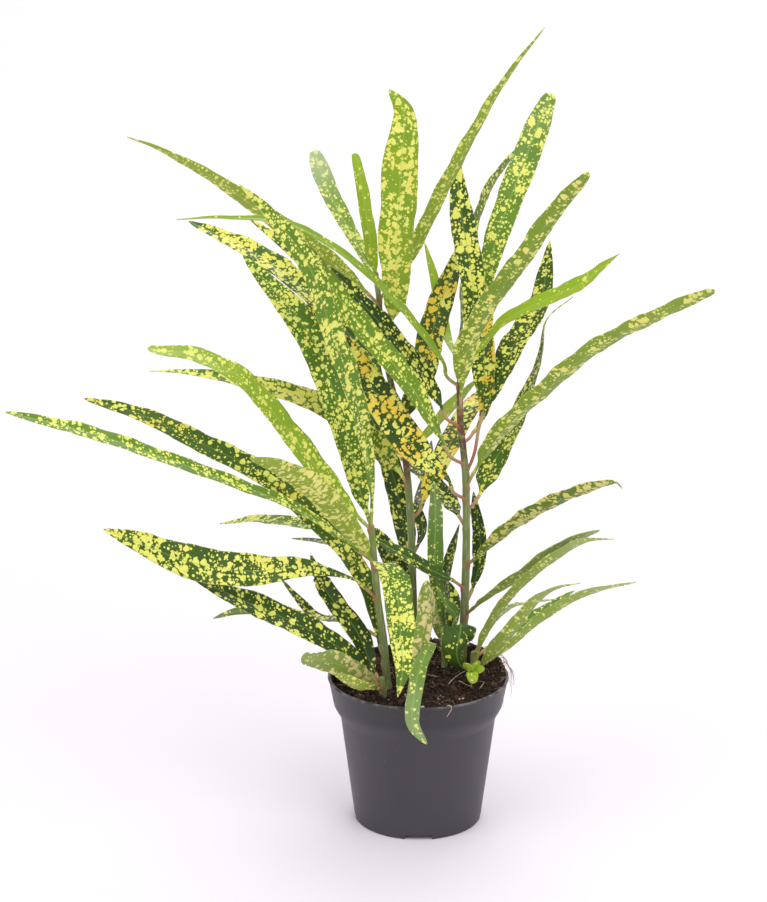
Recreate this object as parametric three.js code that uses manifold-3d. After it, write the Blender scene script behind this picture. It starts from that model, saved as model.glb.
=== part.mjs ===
// A croton in a 12 cm nursery pot: three tall leafy stems, three low leafy shoots and one small
// seedling, all standing in peat.
// Millimetres, +Z up, -Y is the front. The origin is the centre of the pot's underside.
import * as THREE from 'three';
import { mergeVertices } from 'three/addons/utils/BufferGeometryUtils.js';
import Module from 'manifold-3d';

const wasm = await Module();
wasm.setup();

// Clearance between pieces that touch
const GAP = 0.35;

// Pot
const POT_HEIGHT = 100;
const POT_WALL = 1.4;
const RIM_RADIUS = 60;
const COLLAR_RADIUS = 56.4;
const COLLAR_HEIGHT = 82;
const SHOULDER_RADIUS = 51.5;
const SHOULDER_HEIGHT = 73;
const BASE_RADIUS = 42.4;
const COLLAR_ROUNDING = [0.8, 2];
const LIP_ROUNDING = [0.6, 1.6];
const LIP_HEIGHT = 0.8;
const POT_SEGMENTS = 48;

// Drain channels in the pot's underside
const CHANNEL_COUNT = 4;
const CHANNEL_WIDTH = 18;
const CHANNEL_HEIGHT = 3.2;
const CHANNEL_INNER_END = 26;
const CHANNEL_OUTER_END = 44.4;
const DRAIN_HOLE_RADIUS = 3.5;
const DRAIN_HOLE_DEPTH = 12;
const DRAIN_HOLE_SIDES = 12;
const DRAIN_HOLE_FROM_CENTRE = 33;

// Soil, low at the front left and heaped against the rim at the right and the back
const SOIL_LEVEL = 96;
const SOIL_RINGS = [56.6, 52, 45, 36, 26, 14];
const SOIL_SIDE_INSET = 4.15;
const SOIL_SIDE_TOP = 90;
const SOIL_SLOPE = { x: 0.045, y: 0.03 };
const HEAP = { height: 6, from: 42, to: 53, direction: 0.7 };
const LUMP_HEIGHTS = [0.7, 0.5];

// Stems
const STEM_SIDES = 8;
const RINGS_PER_SPAN = 3;
const ROOT_LEVEL = 45;

// Leaves
const USUAL_STALK_LENGTH = 13;
const STALK_RADIUS = 1.1;
const STATION_SPACING = 14;
const FEWEST_BLADE_STEPS = 5;
const MOST_BLADE_STEPS = 14;
const MARGIN_HALF_THICKNESS = 0.35;
const NARROWEST_HALF = 0.4;
const STALK_STATIONS = [0, 0.4, 0.75];
const STALK_SHOULDER = 0.6;
const BLADE_FLAT_FROM = 0.15;
const RIB_UNDER_BLADE = 0.9;
const RIB_AT_TIP = 0.5;
const FOLD_RISE = 0.16;
const USUAL_WIDEST = 0.45;
const USUAL_RISE = 0.7;
const USUAL_TAPER = 0.7;

// Each stem has an axis of points, its radius at the soil and at its top, and its leaves from the
// lowest to the highest. A leaf leaves the axis at the height `from`, runs through the points in
// `through` and ends at `tip`. `turn` and `twist` are degrees about the midrib: turn brings the
// upper face to the front, and twist adds to it from the stalk to the tip. `widest` is the place
// of the widest point along the blade, a large `rise` makes a long narrow base, a small `taper` a
// blunt tip, and `stalk` is the stalk's length.
const STEMS = {
  leafy_stem_right: {
    axis: [[30, 28, 98], [32, 28, 171], [31, 27, 230], [27, 27, 271], [27, 28, 323]],
    radii: [3, 1.9],
    leaves: [
      {
        from: 131, through: [[42, 12, 147], [66, -18, 176], [92, -48, 207]], tip: [113, -62, 221],
        width: 13, turn: -20, twist: -20, widest: 0.6, rise: 0.4, taper: 0.6,
      },
      {
        from: 137, through: [[38, 38, 151], [42, 50, 170]], tip: [38, 68, 206],
        width: 12, turn: -30, rise: 0.6,
      },
      {
        from: 150, through: [[21, 18, 161], [-4, 6, 178]], tip: [-30, -2, 196],
        width: 14, turn: 35, rise: 0.5, stalk: 16,
      },
      {
        from: 167, tip: [124, -80, 254],
        through: [
          [39, 16, 177], [58, -8, 205], [82, -36, 230], [105, -62, 249], [119, -76, 257],
        ],
        width: 15, turn: -25, twist: -20, widest: 0.5, rise: 0.5, taper: 0.5, stalk: 12,
      },
      {
        from: 192, through: [[25, 44, 200], [11, 69, 211], [-4, 87, 223]], tip: [-25, 109, 236],
        width: 18, turn: 0, widest: 0.55, rise: 0.3,
      },
      {
        from: 204, through: [[41, 36, 214], [51, 50, 233], [68, 70, 261], [83, 88, 296], [87, 98, 318]],
        tip: [106, 112, 331],
        width: 21, turn: -20, twist: -70, widest: 0.2, rise: 0.5, taper: 1.5, stalk: 14,
      },
      {
        from: 213, through: [[23, 18, 221], [18, 12, 233], [-2, 6, 253], [-27, 4, 291], [-55, 16, 324]],
        tip: [-77, 30, 346],
        width: 22, turn: 70, widest: 0.35, rise: 1.1, taper: 0.5, stalk: 20,
      },
      {
        from: 221, tip: [176, -85, 380],
        through: [
          [38, 20, 237], [52, 0, 267], [82, -28, 307], [110, -50, 337], [145, -70, 362],
        ],
        width: 17, turn: -25, twist: -20, widest: 0.2, rise: 0.9, taper: 0.2, stalk: 14,
      },
      {
        from: 230, through: [[37, 34, 243], [41, 42, 262], [50, 56, 280], [64, 76, 307], [83, 98, 332]],
        tip: [90, 124, 367],
        width: 20, turn: -5, stalk: 42,
      },
      {
        from: 237, tip: [-71, -28, 394],
        through: [
          [20, 18, 246], [14, 12, 261], [-3, 0, 294], [-32, -12, 335], [-54, -21, 365],
        ],
        width: 16, turn: 75, twist: 10, rise: 0.6, taper: 0.3, stalk: 26,
      },
      {
        from: 252, through: [[35, 38, 254], [44, 50, 268], [44, 68, 291], [44, 88, 310]],
        tip: [50, 112, 325],
        width: 18, turn: -15, widest: 0.6, rise: 1.0, stalk: 17,
      },
      {
        from: 263, through: [[18, 22, 270], [14, 20, 280], [1, 18, 303], [-21, 13, 332], [-41, 7, 355]],
        tip: [-57, 2, 375],
        width: 16, turn: 55, widest: 0.55, rise: 0.3, taper: 0.6, stalk: 20,
      },
      {
        from: 273, tip: [100, -64, 448],
        through: [
          [28, 22, 293], [31, 8, 324], [46, -8, 358], [64, -24, 387], [82, -42, 420],
          [95, -58, 440],
        ],
        width: 17, turn: -15, twist: -20, widest: 0.2, rise: 0.8, taper: 0.3, stalk: 12,
      },
      {
        from: 290, tip: [-148, -64, 419],
        through: [
          [18, 24, 298], [14, 14, 313], [-12, -6, 351], [-44, -26, 387], [-80, -44, 412],
          [-119, -57, 419],
        ],
        width: 9, turn: 40, twist: -30, widest: 0.3, rise: 0.3, taper: 0.8, stalk: 18,
      },
      {
        from: 300, tip: [124, -18, 388],
        through: [
          [39, 26, 315], [56, 20, 337], [81, 10, 353], [101, -2, 365], [115, -10, 378],
        ],
        width: 13, turn: 40, twist: 10, widest: 0.65, rise: 0.3, taper: 1.0,
      },
      {
        from: 304, through: [[18, 74, 316], [11, 104, 347]], tip: [5, 122, 367],
        width: 8, turn: -10, widest: 0.5,
      },
      {
        from: 311, through: [[31, 30, 324], [35, 34, 347], [33, 38, 371], [26, 48, 410]],
        tip: [24, 56, 436],
        width: 17, turn: 0, widest: 0.55, rise: 0.4, stalk: 12,
      },
      {
        from: 315, through: [[37, 38, 334], [44, 46, 363], [59, 60, 406], [75, 80, 445], [83, 88, 463]],
        tip: [88, 92, 472],
        width: 18, turn: 35, widest: 0.7, rise: 0.6, taper: 0.3,
      },
      { from: 318, through: [[32, 92, 354], [46, 122, 399]], tip: [70, 146, 429], width: 14, turn: -95 },
    ],
  },
  leafy_stem_middle: {
    axis: [[-2, 35, 97], [-5, 35, 196], [-11, 35, 259], [-21, 35, 305], [-28, 34, 365]],
    radii: [2.9, 1.7],
    leaves: [
      {
        from: 140, through: [[-6, 58, 161], [-11, 86, 190], [-21, 107, 220]], tip: [-34, 120, 250],
        width: 19, turn: -10, widest: 0.5, rise: 0.9,
      },
      {
        from: 142, through: [[-9, 30, 158], [-14, 24, 168], [-20, 18, 180]], tip: [-29, 12, 198],
        width: 16, turn: 90, rise: 0.6, taper: 0.6, stalk: 9,
      },
      {
        from: 170, through: [[3, 48, 185]], tip: [-2, 64, 201],
        width: 9, turn: -35, widest: 0.5, stalk: 8,
      },
      { from: 195, through: [[5, 100, 197]], tip: [11, 158, 216], width: 14, turn: -40 },
      {
        from: 196, through: [[1, 42, 200], [5, 47, 209], [11, 60, 221], [20, 78, 233], [36, 112, 251]],
        tip: [65, 162, 269],
        width: 17, turn: 0, rise: 0.4, stalk: 14,
      },
      {
        from: 220, tip: [-176, 34, 299],
        through: [
          [-13, 32, 232], [-20, 29, 242], [-27, 26, 250], [-65, 22, 280], [-110, 24, 294],
          [-149, 30, 299],
        ],
        width: 18, turn: 40, twist: -40, widest: 0.25, rise: 0.3, taper: 0.9, stalk: 8,
      },
      { from: 241, through: [[15, 66, 258]], tip: [41, 98, 276], width: 15, turn: -75 },
      {
        from: 252, through: [[-8, 40, 271], [4, 48, 295], [12, 58, 331]], tip: [30, 70, 379],
        width: 19, turn: 25, widest: 0.5, rise: 0.4, stalk: 10,
      },
      {
        from: 279, through: [[-37, 52, 309], [-75, 80, 344], [-116, 104, 367]], tip: [-155, 122, 381],
        width: 19, turn: 20, widest: 0.6, rise: 0.3, taper: 0.6,
      },
      {
        from: 313, through: [[-48, 46, 339], [-83, 60, 374]], tip: [-111, 70, 393],
        width: 13, turn: 30, widest: 0.4, rise: 0.6,
      },
      {
        from: 320, through: [[-15, 22, 349], [-15, 8, 395], [-12, 0, 441], [-10, -4, 473]],
        tip: [-20, -6, 489],
        width: 24, turn: 5, widest: 0.6, rise: 0.4,
      },
      {
        from: 343, through: [[-44, 20, 364], [-82, -10, 401], [-117, -38, 433], [-154, -62, 460]],
        tip: [-175, -75, 471],
        width: 14, turn: -40, twist: 20, widest: 0.3, rise: 0.4, taper: 0.8,
      },
      {
        from: 346, through: [[-8, 38, 371], [12, 24, 415], [44, -2, 482]], tip: [75, -20, 529],
        width: 13, turn: -20, twist: 20, widest: 0.3, rise: 0.3,
      },
      {
        from: 354, through: [[-31, 40, 382], [-36, 50, 409], [-40, 57, 430]], tip: [-42, 60, 438],
        width: 10, turn: 0, widest: 0.3, taper: 0.2, stalk: 8,
      },
      {
        from: 356, through: [[-38, 54, 375], [-53, 80, 397], [-63, 98, 416], [-66, 104, 424]],
        tip: [-69, 112, 431],
        width: 13, turn: 10, twist: 10, widest: 0.8, rise: 0.5, taper: 0.3, stalk: 10,
      },
    ],
  },
  leafy_stem_left: {
    axis: [[-20, -13, 92], [-23, -13, 129], [-27, -13, 160], [-31, -14, 209]],
    radii: [2.8, 2.2],
    leaves: [
      {
        from: 112, tip: [-223, 66, 272],
        through: [
          [-25, -12, 123], [-27, -11, 135], [-29, -10, 150], [-33, -7, 164], [-41, -2, 177],
          [-55, 4, 195], [-97, 20, 229], [-144, 40, 249], [-185, 54, 264],
        ],
        width: 16, turn: 40, twist: -20, widest: 0.55, rise: 0.3, taper: 0.5,
      },
      {
        from: 129, through: [[-37, 3, 132], [-49, 13, 133], [-67, 32, 129], [-77, 40, 135]],
        tip: [-92, 52, 149],
        width: 10, turn: 5, widest: 0.4,
      },
      {
        from: 157, tip: [-195, -90, 231],
        through: [
          [-36, -18, 168], [-45, -26, 177], [-76, -44, 190], [-107, -58, 193], [-144, -72, 203],
          [-174, -83, 220],
        ],
        width: 23, turn: 60, widest: 0.6, rise: 1.6, stalk: 14,
      },
      {
        from: 179, tip: [-14, -75, 114],
        through: [
          [-23, -34, 190], [-16, -50, 184], [-13, -60, 171], [-12, -68, 150], [-11, -73, 133],
        ],
        width: 20, turn: -10, rise: 0.2, taper: 0.8, stalk: 8,
      },
      {
        from: 180, through: [[-41, -36, 209], [-62, -74, 248], [-82, -100, 272]], tip: [-103, -118, 285],
        width: 17, turn: -40, twist: -10, widest: 0.6, rise: 0.4, taper: 0.6, stalk: 10,
      },
      {
        from: 183, tip: [-254, -80, 303],
        through: [
          [-77, -36, 227], [-113, -48, 246], [-150, -58, 264], [-186, -67, 280], [-222, -74, 293],
        ],
        width: 12, turn: 30, widest: 0.75, rise: 0.3, taper: 0.6, stalk: 14,
      },
      { from: 190, through: [[-60, 52, 175]], tip: [-86, 82, 168], width: 8, turn: 15 },
      {
        from: 195, through: [[-48, 12, 195], [-79, 44, 191], [-107, 70, 186]], tip: [-136, 92, 175],
        width: 12, turn: 15, twist: 10, widest: 0.55, rise: 0.3, taper: 0.6,
      },
      {
        from: 205, tip: [-169, -50, 335],
        through: [
          [-48, -20, 226], [-77, -30, 268], [-110, -38, 312], [-140, -46, 330], [-160, -49, 333],
        ],
        width: 17, turn: 50, twist: -40, widest: 0.35, rise: 0.5, taper: 0.3, stalk: 9,
      },
      {
        from: 207, through: [[-38, -10, 231], [-48, -6, 274], [-64, 2, 319], [-85, 12, 349]],
        tip: [-113, 24, 378],
        width: 22, turn: 40, widest: 0.55, rise: 0.4, stalk: 6,
      },
      {
        from: 208, tip: [-109, -76, 443],
        through: [
          [-31, -22, 241], [-38, -38, 292], [-54, -52, 344], [-67, -62, 388], [-90, -71, 422],
        ],
        width: 17, turn: 85, widest: 0.6, taper: 0.8, stalk: 10,
      },
    ],
  },
  leafy_shoot_front_left: {
    axis: [[-23, -25, 92], [-24, -25, 108]],
    radii: [2.6, 2],
    leaves: [
      {
        from: 99, through: [[-37, -28, 116], [-60, -34, 138], [-90, -38, 156], [-119, -42, 170]],
        tip: [-146, -44, 184],
        width: 20, turn: 35, widest: 0.55, rise: 0.3, stalk: 12,
      },
      { from: 100, through: [[-35, -52, 112]], tip: [-55, -74, 130], width: 12, turn: -30, stalk: 10 },
      {
        from: 101, through: [[-32, -16, 115], [-42, -8, 136], [-60, 4, 157]], tip: [-71, 10, 180],
        width: 15, turn: 20, rise: 0.4, taper: 0.4, stalk: 10,
      },
      {
        from: 101, through: [[-37, -42, 115], [-54, -54, 129]], tip: [-75, -64, 137],
        width: 16, turn: -70, twist: -10, widest: 0.55, rise: 0.8, taper: 0.3, stalk: 10,
      },
      {
        from: 103, through: [[-59, 26, 117], [-100, 42, 129], [-122, 52, 126]], tip: [-139, 56, 119],
        width: 12, turn: -65, widest: 0.5,
      },
    ],
  },
  leafy_shoot_front_right: {
    axis: [[37, 5, 95], [37, 6, 114]],
    radii: [3, 2.2],
    leaves: [
      {
        from: 101, through: [[46, -8, 116], [58, -24, 139], [72, -44, 166], [85, -62, 182]],
        tip: [100, -76, 191],
        width: 10, turn: -30, twist: 20, widest: 0.25, rise: 0.8, stalk: 8,
      },
      {
        from: 101, through: [[56, 0, 117], [79, -8, 142], [108, -20, 164]], tip: [139, -34, 177],
        width: 9, turn: -45, widest: 0.5, rise: 0.6, stalk: 10,
      },
      {
        from: 101, through: [[29, -2, 106], [24, -7, 117], [25, -7, 128], [28, 0, 133]],
        tip: [31, 18, 125],
        width: 21, turn: 0, widest: 0.55, rise: 1.3, taper: 0.5, stalk: 5,
      },
      {
        from: 102, through: [[43, -2, 129], [56, -16, 157], [77, -40, 189], [100, -62, 213]],
        tip: [120, -80, 221],
        width: 9, turn: -25, twist: -20, widest: 0.6, rise: 0.3, taper: 0.6, stalk: 10,
      },
      { from: 109, through: [[61, 32, 118]], tip: [108, 68, 135], width: 10, turn: 10 },
      { from: 112, through: [[59, 48, 128]], tip: [97, 88, 122], width: 9, turn: -10 },
    ],
  },
  leafy_shoot_centre: {
    axis: [[18, 21, 96], [18, 21, 114]],
    radii: [2.4, 1.8],
    leaves: [
      {
        from: 105, through: [[18, 34, 151], [21, 38, 167]], tip: [28, 48, 189],
        width: 14, turn: -40, stalk: 10,
      },
      {
        from: 106, through: [[21, 42, 127], [22, 52, 137]], tip: [20, 60, 145],
        width: 16, turn: 5, widest: 0.55, stalk: 10,
      },
      {
        from: 107, through: [[9, 2, 147], [6, -10, 161], [3, -20, 142], [-2, -30, 124]],
        tip: [-5, -35, 107],
        width: 16, turn: -100, twist: -90, widest: 0.65, rise: 0.6, stalk: 10,
      },
      {
        from: 107, through: [[11, 3, 120], [8, -24, 130], [0, -52, 125], [-4, -70, 110], [-4, -74, 95]],
        tip: [5, -75, 82],
        width: 10, turn: 15, widest: 0.75, taper: 0.6, stalk: 10,
      },
      {
        from: 109, through: [[25, 18, 134], [20, 12, 144]], tip: [12, 6, 160],
        width: 9, turn: 90, widest: 0.4, stalk: 10,
      },
      {
        from: 109, through: [[12, 22, 166], [11, 24, 203]], tip: [10, 26, 226],
        width: 11, turn: 45, widest: 0.65, rise: 0.6, taper: 0.6, stalk: 10,
      },
    ],
  },
  seedling: {
    axis: [[35, -16, 95], [34, -17, 109]],
    radii: [0.9, 0.7],
    leaves: [
      {
        from: 105, through: [[37, -14, 111]], tip: [40, -11, 114],
        width: 6, turn: 0, rise: 0.4, taper: 0.4, stalk: 3,
      },
      {
        from: 106, through: [[38, -19, 110]], tip: [43, -21, 112],
        width: 6, turn: 50, rise: 0.4, taper: 0.4, stalk: 3,
      },
      {
        from: 107, through: [[33, -20, 111]], tip: [31, -23, 117],
        width: 8, turn: 0, rise: 0.4, taper: 0.4, stalk: 3,
      },
      {
        from: 108, through: [[35, -22, 110]], tip: [36, -26, 104],
        width: 8, turn: 0, rise: 0.4, taper: 0.4, stalk: 3,
      },
    ],
  },
};

const SEEDLING_STALK_RADIUS = 0.6;
const SEEDLING_ROOT_LEVEL = 85;

// Closed solids
function toManifold(geometry) {
  const bare = geometry.clone();
  bare.deleteAttribute('normal');
  bare.deleteAttribute('uv');
  const merged = mergeVertices(bare, 1e-4);
  return new wasm.Manifold(new wasm.Mesh({
    numProp: 3,
    vertProperties: new Float32Array(merged.attributes.position.array),
    triVerts: new Uint32Array(merged.index.array),
  }));
}

function toGeometry(manifold) {
  const mesh = manifold.getMesh();
  const geometry = new THREE.BufferGeometry();
  geometry.setAttribute('position', new THREE.BufferAttribute(mesh.vertProperties, 3));
  geometry.setIndex(new THREE.BufferAttribute(mesh.triVerts, 1));
  geometry.computeVertexNormals();
  return geometry;
}

// Joins rings of equally many points, each ring clockwise seen from the end of the loft. Past
// `mirrorFrom` the diagonals lean the other way, so that both faces of a blade are split alike.
function loft(rings, mirrorFrom = Infinity) {
  const sides = rings[0].length;
  const indices = [];
  for (let ring = 0; ring < rings.length - 1; ring += 1) {
    for (let side = 0; side < sides; side += 1) {
      const next = (side + 1) % sides;
      const a = ring * sides + side;
      const b = ring * sides + next;
      const c = a + sides;
      const d = b + sides;
      if (side < mirrorFrom) {
        indices.push(a, c, d, a, d, b);
      } else {
        indices.push(a, c, b, b, c, d);
      }
    }
  }
  const last = (rings.length - 1) * sides;
  for (let side = 1; side < sides - 1; side += 1) {
    indices.push(0, side, side + 1);
    indices.push(last, last + side + 1, last + side);
  }
  const geometry = new THREE.BufferGeometry();
  const points = rings.flat().flatMap((point) => point.toArray());
  geometry.setAttribute('position', new THREE.BufferAttribute(new Float32Array(points), 3));
  geometry.setIndex(indices);
  return geometry;
}

function latheZ(profile, segments) {
  const geometry = new THREE.LatheGeometry(profile.map(([r, z]) => new THREE.Vector2(r, z)), segments);
  geometry.rotateX(Math.PI / 2);
  return geometry;
}

function block(width, depth, bottom, top, centreX, turn) {
  const geometry = new THREE.BoxGeometry(width, depth, top - bottom);
  geometry.translate(centreX, 0, (top + bottom) / 2);
  geometry.rotateZ(turn);
  return toManifold(geometry);
}

function smoothStep(from, to, value) {
  const t = THREE.MathUtils.clamp((value - from) / (to - from), 0, 1);
  return t * t * (3 - 2 * t);
}

function curveThrough(points) {
  const vectors = points.map(([x, y, z]) => new THREE.Vector3(x, y, z));
  return new THREE.CatmullRomCurve3(vectors, false, 'catmullrom', 0.5);
}

// Stems
function pointAtHeight(curve, height) {
  let low = 0;
  let high = 1;
  for (let step = 0; step < 30; step += 1) {
    const middle = (low + high) / 2;
    if (curve.getPoint(middle).z < height) {
      low = middle;
    } else {
      high = middle;
    }
  }
  return curve.getPoint(low);
}

function stemSolid(stem, rootLevel, grow = 0) {
  const curve = curveThrough(stem.axis);
  const root = new THREE.Vector3(...stem.axis[0]).setZ(rootLevel - grow);
  const steps = RINGS_PER_SPAN * (stem.axis.length - 1);
  const places = [root];
  for (let step = 0; step <= steps; step += 1) {
    places.push(curve.getPointAt(step / steps));
  }
  const rings = places.map((place, index) => {
    const share = Math.max(0, index - 1) / steps;
    const radius = THREE.MathUtils.lerp(stem.radii[0], stem.radii[1], share) + grow;
    const ring = [];
    for (let side = 0; side < STEM_SIDES; side += 1) {
      const angle = -2 * Math.PI * side / STEM_SIDES;
      ring.push(new THREE.Vector3(radius * Math.cos(angle), radius * Math.sin(angle), 0).add(place));
    }
    return ring;
  });
  return toManifold(loft(rings));
}

// Leaves
function bladeOutline(place, leaf) {
  const widest = leaf.widest ?? USUAL_WIDEST;
  const towardsTip = Math.max(0, (place - widest) / (1 - widest));
  const rise = Math.sin(Math.PI / 2 * Math.min(place / widest, 1)) ** (leaf.rise ?? USUAL_RISE);
  const fall = Math.cos(Math.PI / 2 * towardsTip) ** (leaf.taper ?? USUAL_TAPER);
  return rise * fall;
}

// The distances along a leaf: three on its stalk, then the blade, closer together at both ends.
function leafStations(length, stalkLength) {
  const stations = STALK_STATIONS.map((part) => ({ share: part * stalkLength / length, blade: 0 }));
  const steps = THREE.MathUtils.clamp(
    Math.round((length - stalkLength) / STATION_SPACING), FEWEST_BLADE_STEPS, MOST_BLADE_STEPS,
  );
  for (let step = 0; step <= steps; step += 1) {
    const closer = (1 - Math.cos(Math.PI * step / steps)) / 2;
    const blade = (step / steps + closer) / 2;
    stations.push({ share: (stalkLength + blade * (length - stalkLength)) / length, blade });
  }
  return stations;
}

function leafSolid(leaf, stemCurve, stalkRadius) {
  const base = pointAtHeight(stemCurve, leaf.from);
  const curve = curveThrough([base.toArray(), ...leaf.through, leaf.tip]);
  const heading = new THREE.Vector3(...leaf.tip).sub(base).setZ(0).normalize();
  const level = new THREE.Vector3(0, 0, 1).cross(heading);
  const hand = leaf.tip[0] < base.x ? -1 : 1;
  const stalkLength = leaf.stalk ?? USUAL_STALK_LENGTH;
  const rings = leafStations(curve.getLength(), stalkLength).map(({ share, blade }) => {
    const place = curve.getPointAt(share);
    const along = curve.getTangentAt(share);
    const across = level.clone().addScaledVector(along, -level.dot(along)).normalize();
    const degrees = leaf.turn + (leaf.twist ?? 0) * (share - 0.5);
    across.applyAxisAngle(along, THREE.MathUtils.degToRad(degrees) * hand);
    const up = along.clone().cross(across);
    const half = Math.max(
      stalkRadius * (1 - blade), leaf.width / 2 * bladeOutline(blade, leaf), NARROWEST_HALF,
    );
    const flatness = smoothStep(0, BLADE_FLAT_FROM, blade);
    const rise = half * FOLD_RISE / 2 * flatness;
    const shoulder = stalkRadius * STALK_SHOULDER;
    const edge = THREE.MathUtils.lerp(shoulder, MARGIN_HALF_THICKNESS, flatness);
    const top = THREE.MathUtils.lerp(stalkRadius, MARGIN_HALF_THICKNESS, flatness);
    const rib = RIB_UNDER_BLADE * THREE.MathUtils.lerp(1, RIB_AT_TIP, blade);
    const under = THREE.MathUtils.lerp(stalkRadius, rib, flatness);
    const corner = (sideways, upward) => (
      place.clone().addScaledVector(across, sideways).addScaledVector(up, upward)
    );
    return [
      corner(-half, rise + edge), corner(0, top - rise), corner(half, rise + edge),
      corner(half, rise - edge), corner(0, -under - rise), corner(-half, rise - edge),
    ];
  });
  return toManifold(loft(rings, 3));
}

function leafyStem(name, stem) {
  const stalkRadius = name === 'seedling' ? SEEDLING_STALK_RADIUS : STALK_RADIUS;
  const curve = curveThrough(stem.axis);
  let solid = stemSolid(stem, rootLevel(name));
  for (const leaf of stem.leaves) {
    solid = solid.add(leafSolid(leaf, curve, stalkRadius));
  }
  return toGeometry(solid);
}

function rootLevel(name) {
  return name === 'seedling' ? SEEDLING_ROOT_LEVEL : ROOT_LEVEL;
}

// Pot
function outerProfile() {
  return [
    [BASE_RADIUS, 0],
    [SHOULDER_RADIUS, SHOULDER_HEIGHT],
    [COLLAR_RADIUS - COLLAR_ROUNDING[0], COLLAR_HEIGHT - COLLAR_ROUNDING[1]],
    [COLLAR_RADIUS, COLLAR_HEIGHT],
    [RIM_RADIUS - LIP_ROUNDING[0], POT_HEIGHT - LIP_ROUNDING[1]],
    [RIM_RADIUS, POT_HEIGHT - LIP_HEIGHT],
    [RIM_RADIUS, POT_HEIGHT],
  ];
}

function innerProfile(inset) {
  return [
    [BASE_RADIUS - inset, POT_WALL],
    [SHOULDER_RADIUS - inset, SHOULDER_HEIGHT + POT_WALL / 2],
    [COLLAR_RADIUS - COLLAR_ROUNDING[0] - inset, COLLAR_HEIGHT - POT_WALL],
    [RIM_RADIUS - LIP_ROUNDING[0] - inset, POT_HEIGHT - LIP_ROUNDING[1]],
  ];
}

// Raised pads in the pot's floor over the drain channels, wider by `grow` all round
function channelPads(grow) {
  const pads = [];
  const inner = CHANNEL_INNER_END - POT_WALL - grow;
  for (let index = 0; index < CHANNEL_COUNT; index += 1) {
    const turn = Math.PI / 2 + 2 * Math.PI * index / CHANNEL_COUNT;
    const width = CHANNEL_WIDTH + 2 * (POT_WALL + grow);
    const top = CHANNEL_HEIGHT + POT_WALL + grow;
    const length = CHANNEL_OUTER_END - inner;
    pads.push(block(length, width, POT_WALL / 2, top, inner + length / 2, turn));
  }
  return pads;
}

function pot() {
  const profile = [[0, 0], ...outerProfile(), ...innerProfile(POT_WALL).reverse(), [0, POT_WALL]];
  let solid = toManifold(latheZ(profile, POT_SEGMENTS));
  const body = toManifold(latheZ([[0, 0], ...outerProfile(), [0, POT_HEIGHT]], POT_SEGMENTS));
  for (const pad of channelPads(0)) {
    solid = solid.add(pad.intersect(body));
  }
  for (let index = 0; index < CHANNEL_COUNT; index += 1) {
    const turn = Math.PI / 2 + 2 * Math.PI * index / CHANNEL_COUNT;
    const length = CHANNEL_OUTER_END - CHANNEL_INNER_END;
    const centre = CHANNEL_INNER_END + length / 2;
    solid = solid.subtract(block(length, CHANNEL_WIDTH, -1, CHANNEL_HEIGHT, centre, turn));
    const hole = new THREE.CylinderGeometry(
      DRAIN_HOLE_RADIUS, DRAIN_HOLE_RADIUS, DRAIN_HOLE_DEPTH, DRAIN_HOLE_SIDES,
    );
    hole.rotateX(Math.PI / 2);
    hole.translate(DRAIN_HOLE_FROM_CENTRE, 0, 0);
    hole.rotateZ(turn);
    solid = solid.subtract(toManifold(hole));
  }
  return toGeometry(solid);
}

// Soil
function soilSurface(x, y) {
  const towardsHeap = Math.max(0, Math.cos(Math.atan2(y, x) - HEAP.direction));
  const slope = SOIL_SLOPE.x * x + SOIL_SLOPE.y * y;
  const heap = HEAP.height * smoothStep(HEAP.from, HEAP.to, Math.hypot(x, y)) * towardsHeap;
  const broadLumps = LUMP_HEIGHTS[0] * Math.sin(0.31 * x + 1) * Math.cos(0.27 * y);
  const smallLumps = LUMP_HEIGHTS[1] * Math.sin(0.53 * (x + y));
  return slope + heap + broadLumps + smallLumps;
}

function soil() {
  const [foot, ...wall] = innerProfile(POT_WALL + GAP).slice(0, -1);
  const base = [[0, POT_WALL + GAP], [foot[0], POT_WALL + GAP]];
  const side = [...wall, [RIM_RADIUS - SOIL_SIDE_INSET, SOIL_SIDE_TOP]];
  const top = SOIL_RINGS.map((radius) => [radius, SOIL_LEVEL]);
  const profile = [...base, ...side, ...top, [0, SOIL_LEVEL]];
  const geometry = latheZ(profile, POT_SEGMENTS);
  const place = geometry.attributes.position;
  for (let index = 0; index < place.count; index += 1) {
    if (place.getZ(index) > SOIL_LEVEL - 1) {
      const height = SOIL_LEVEL + soilSurface(place.getX(index), place.getY(index));
      place.setZ(index, height);
    }
  }
  let solid = toManifold(geometry);
  for (const pad of channelPads(GAP)) {
    solid = solid.subtract(pad);
  }
  for (const [name, stem] of Object.entries(STEMS)) {
    solid = solid.subtract(stemSolid(stem, rootLevel(name), GAP));
  }
  return toGeometry(solid);
}

// Materials
const potPlastic = new THREE.MeshStandardMaterial({ color: 0x504d54, roughness: 0.5, metalness: 0 });
const peat = new THREE.MeshStandardMaterial({ color: 0x2b1d18, roughness: 0.95, metalness: 0 });
const LEAF_COLOURS = {
  leafy_stem_right: 0x6f9428,
  leafy_stem_middle: 0x7b9f2e,
  leafy_stem_left: 0x84a832,
  leafy_shoot_front_left: 0x3f6a24,
  leafy_shoot_front_right: 0x6a8f3a,
  leafy_shoot_centre: 0x4c7630,
  seedling: 0x9cc044,
};

function piece(name, geometry, material) {
  const mesh = new THREE.Mesh(geometry, material);
  mesh.name = name;
  return mesh;
}

const croton = new THREE.Group();
croton.add(piece('pot', pot(), potPlastic));
croton.add(piece('soil', soil(), peat));
for (const [name, stem] of Object.entries(STEMS)) {
  const foliage = new THREE.MeshStandardMaterial({
    color: LEAF_COLOURS[name], roughness: 0.45, metalness: 0,
  });
  croton.add(piece(name, leafyStem(name, stem), foliage));
}

export default croton;
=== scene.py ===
import math
import random

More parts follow.
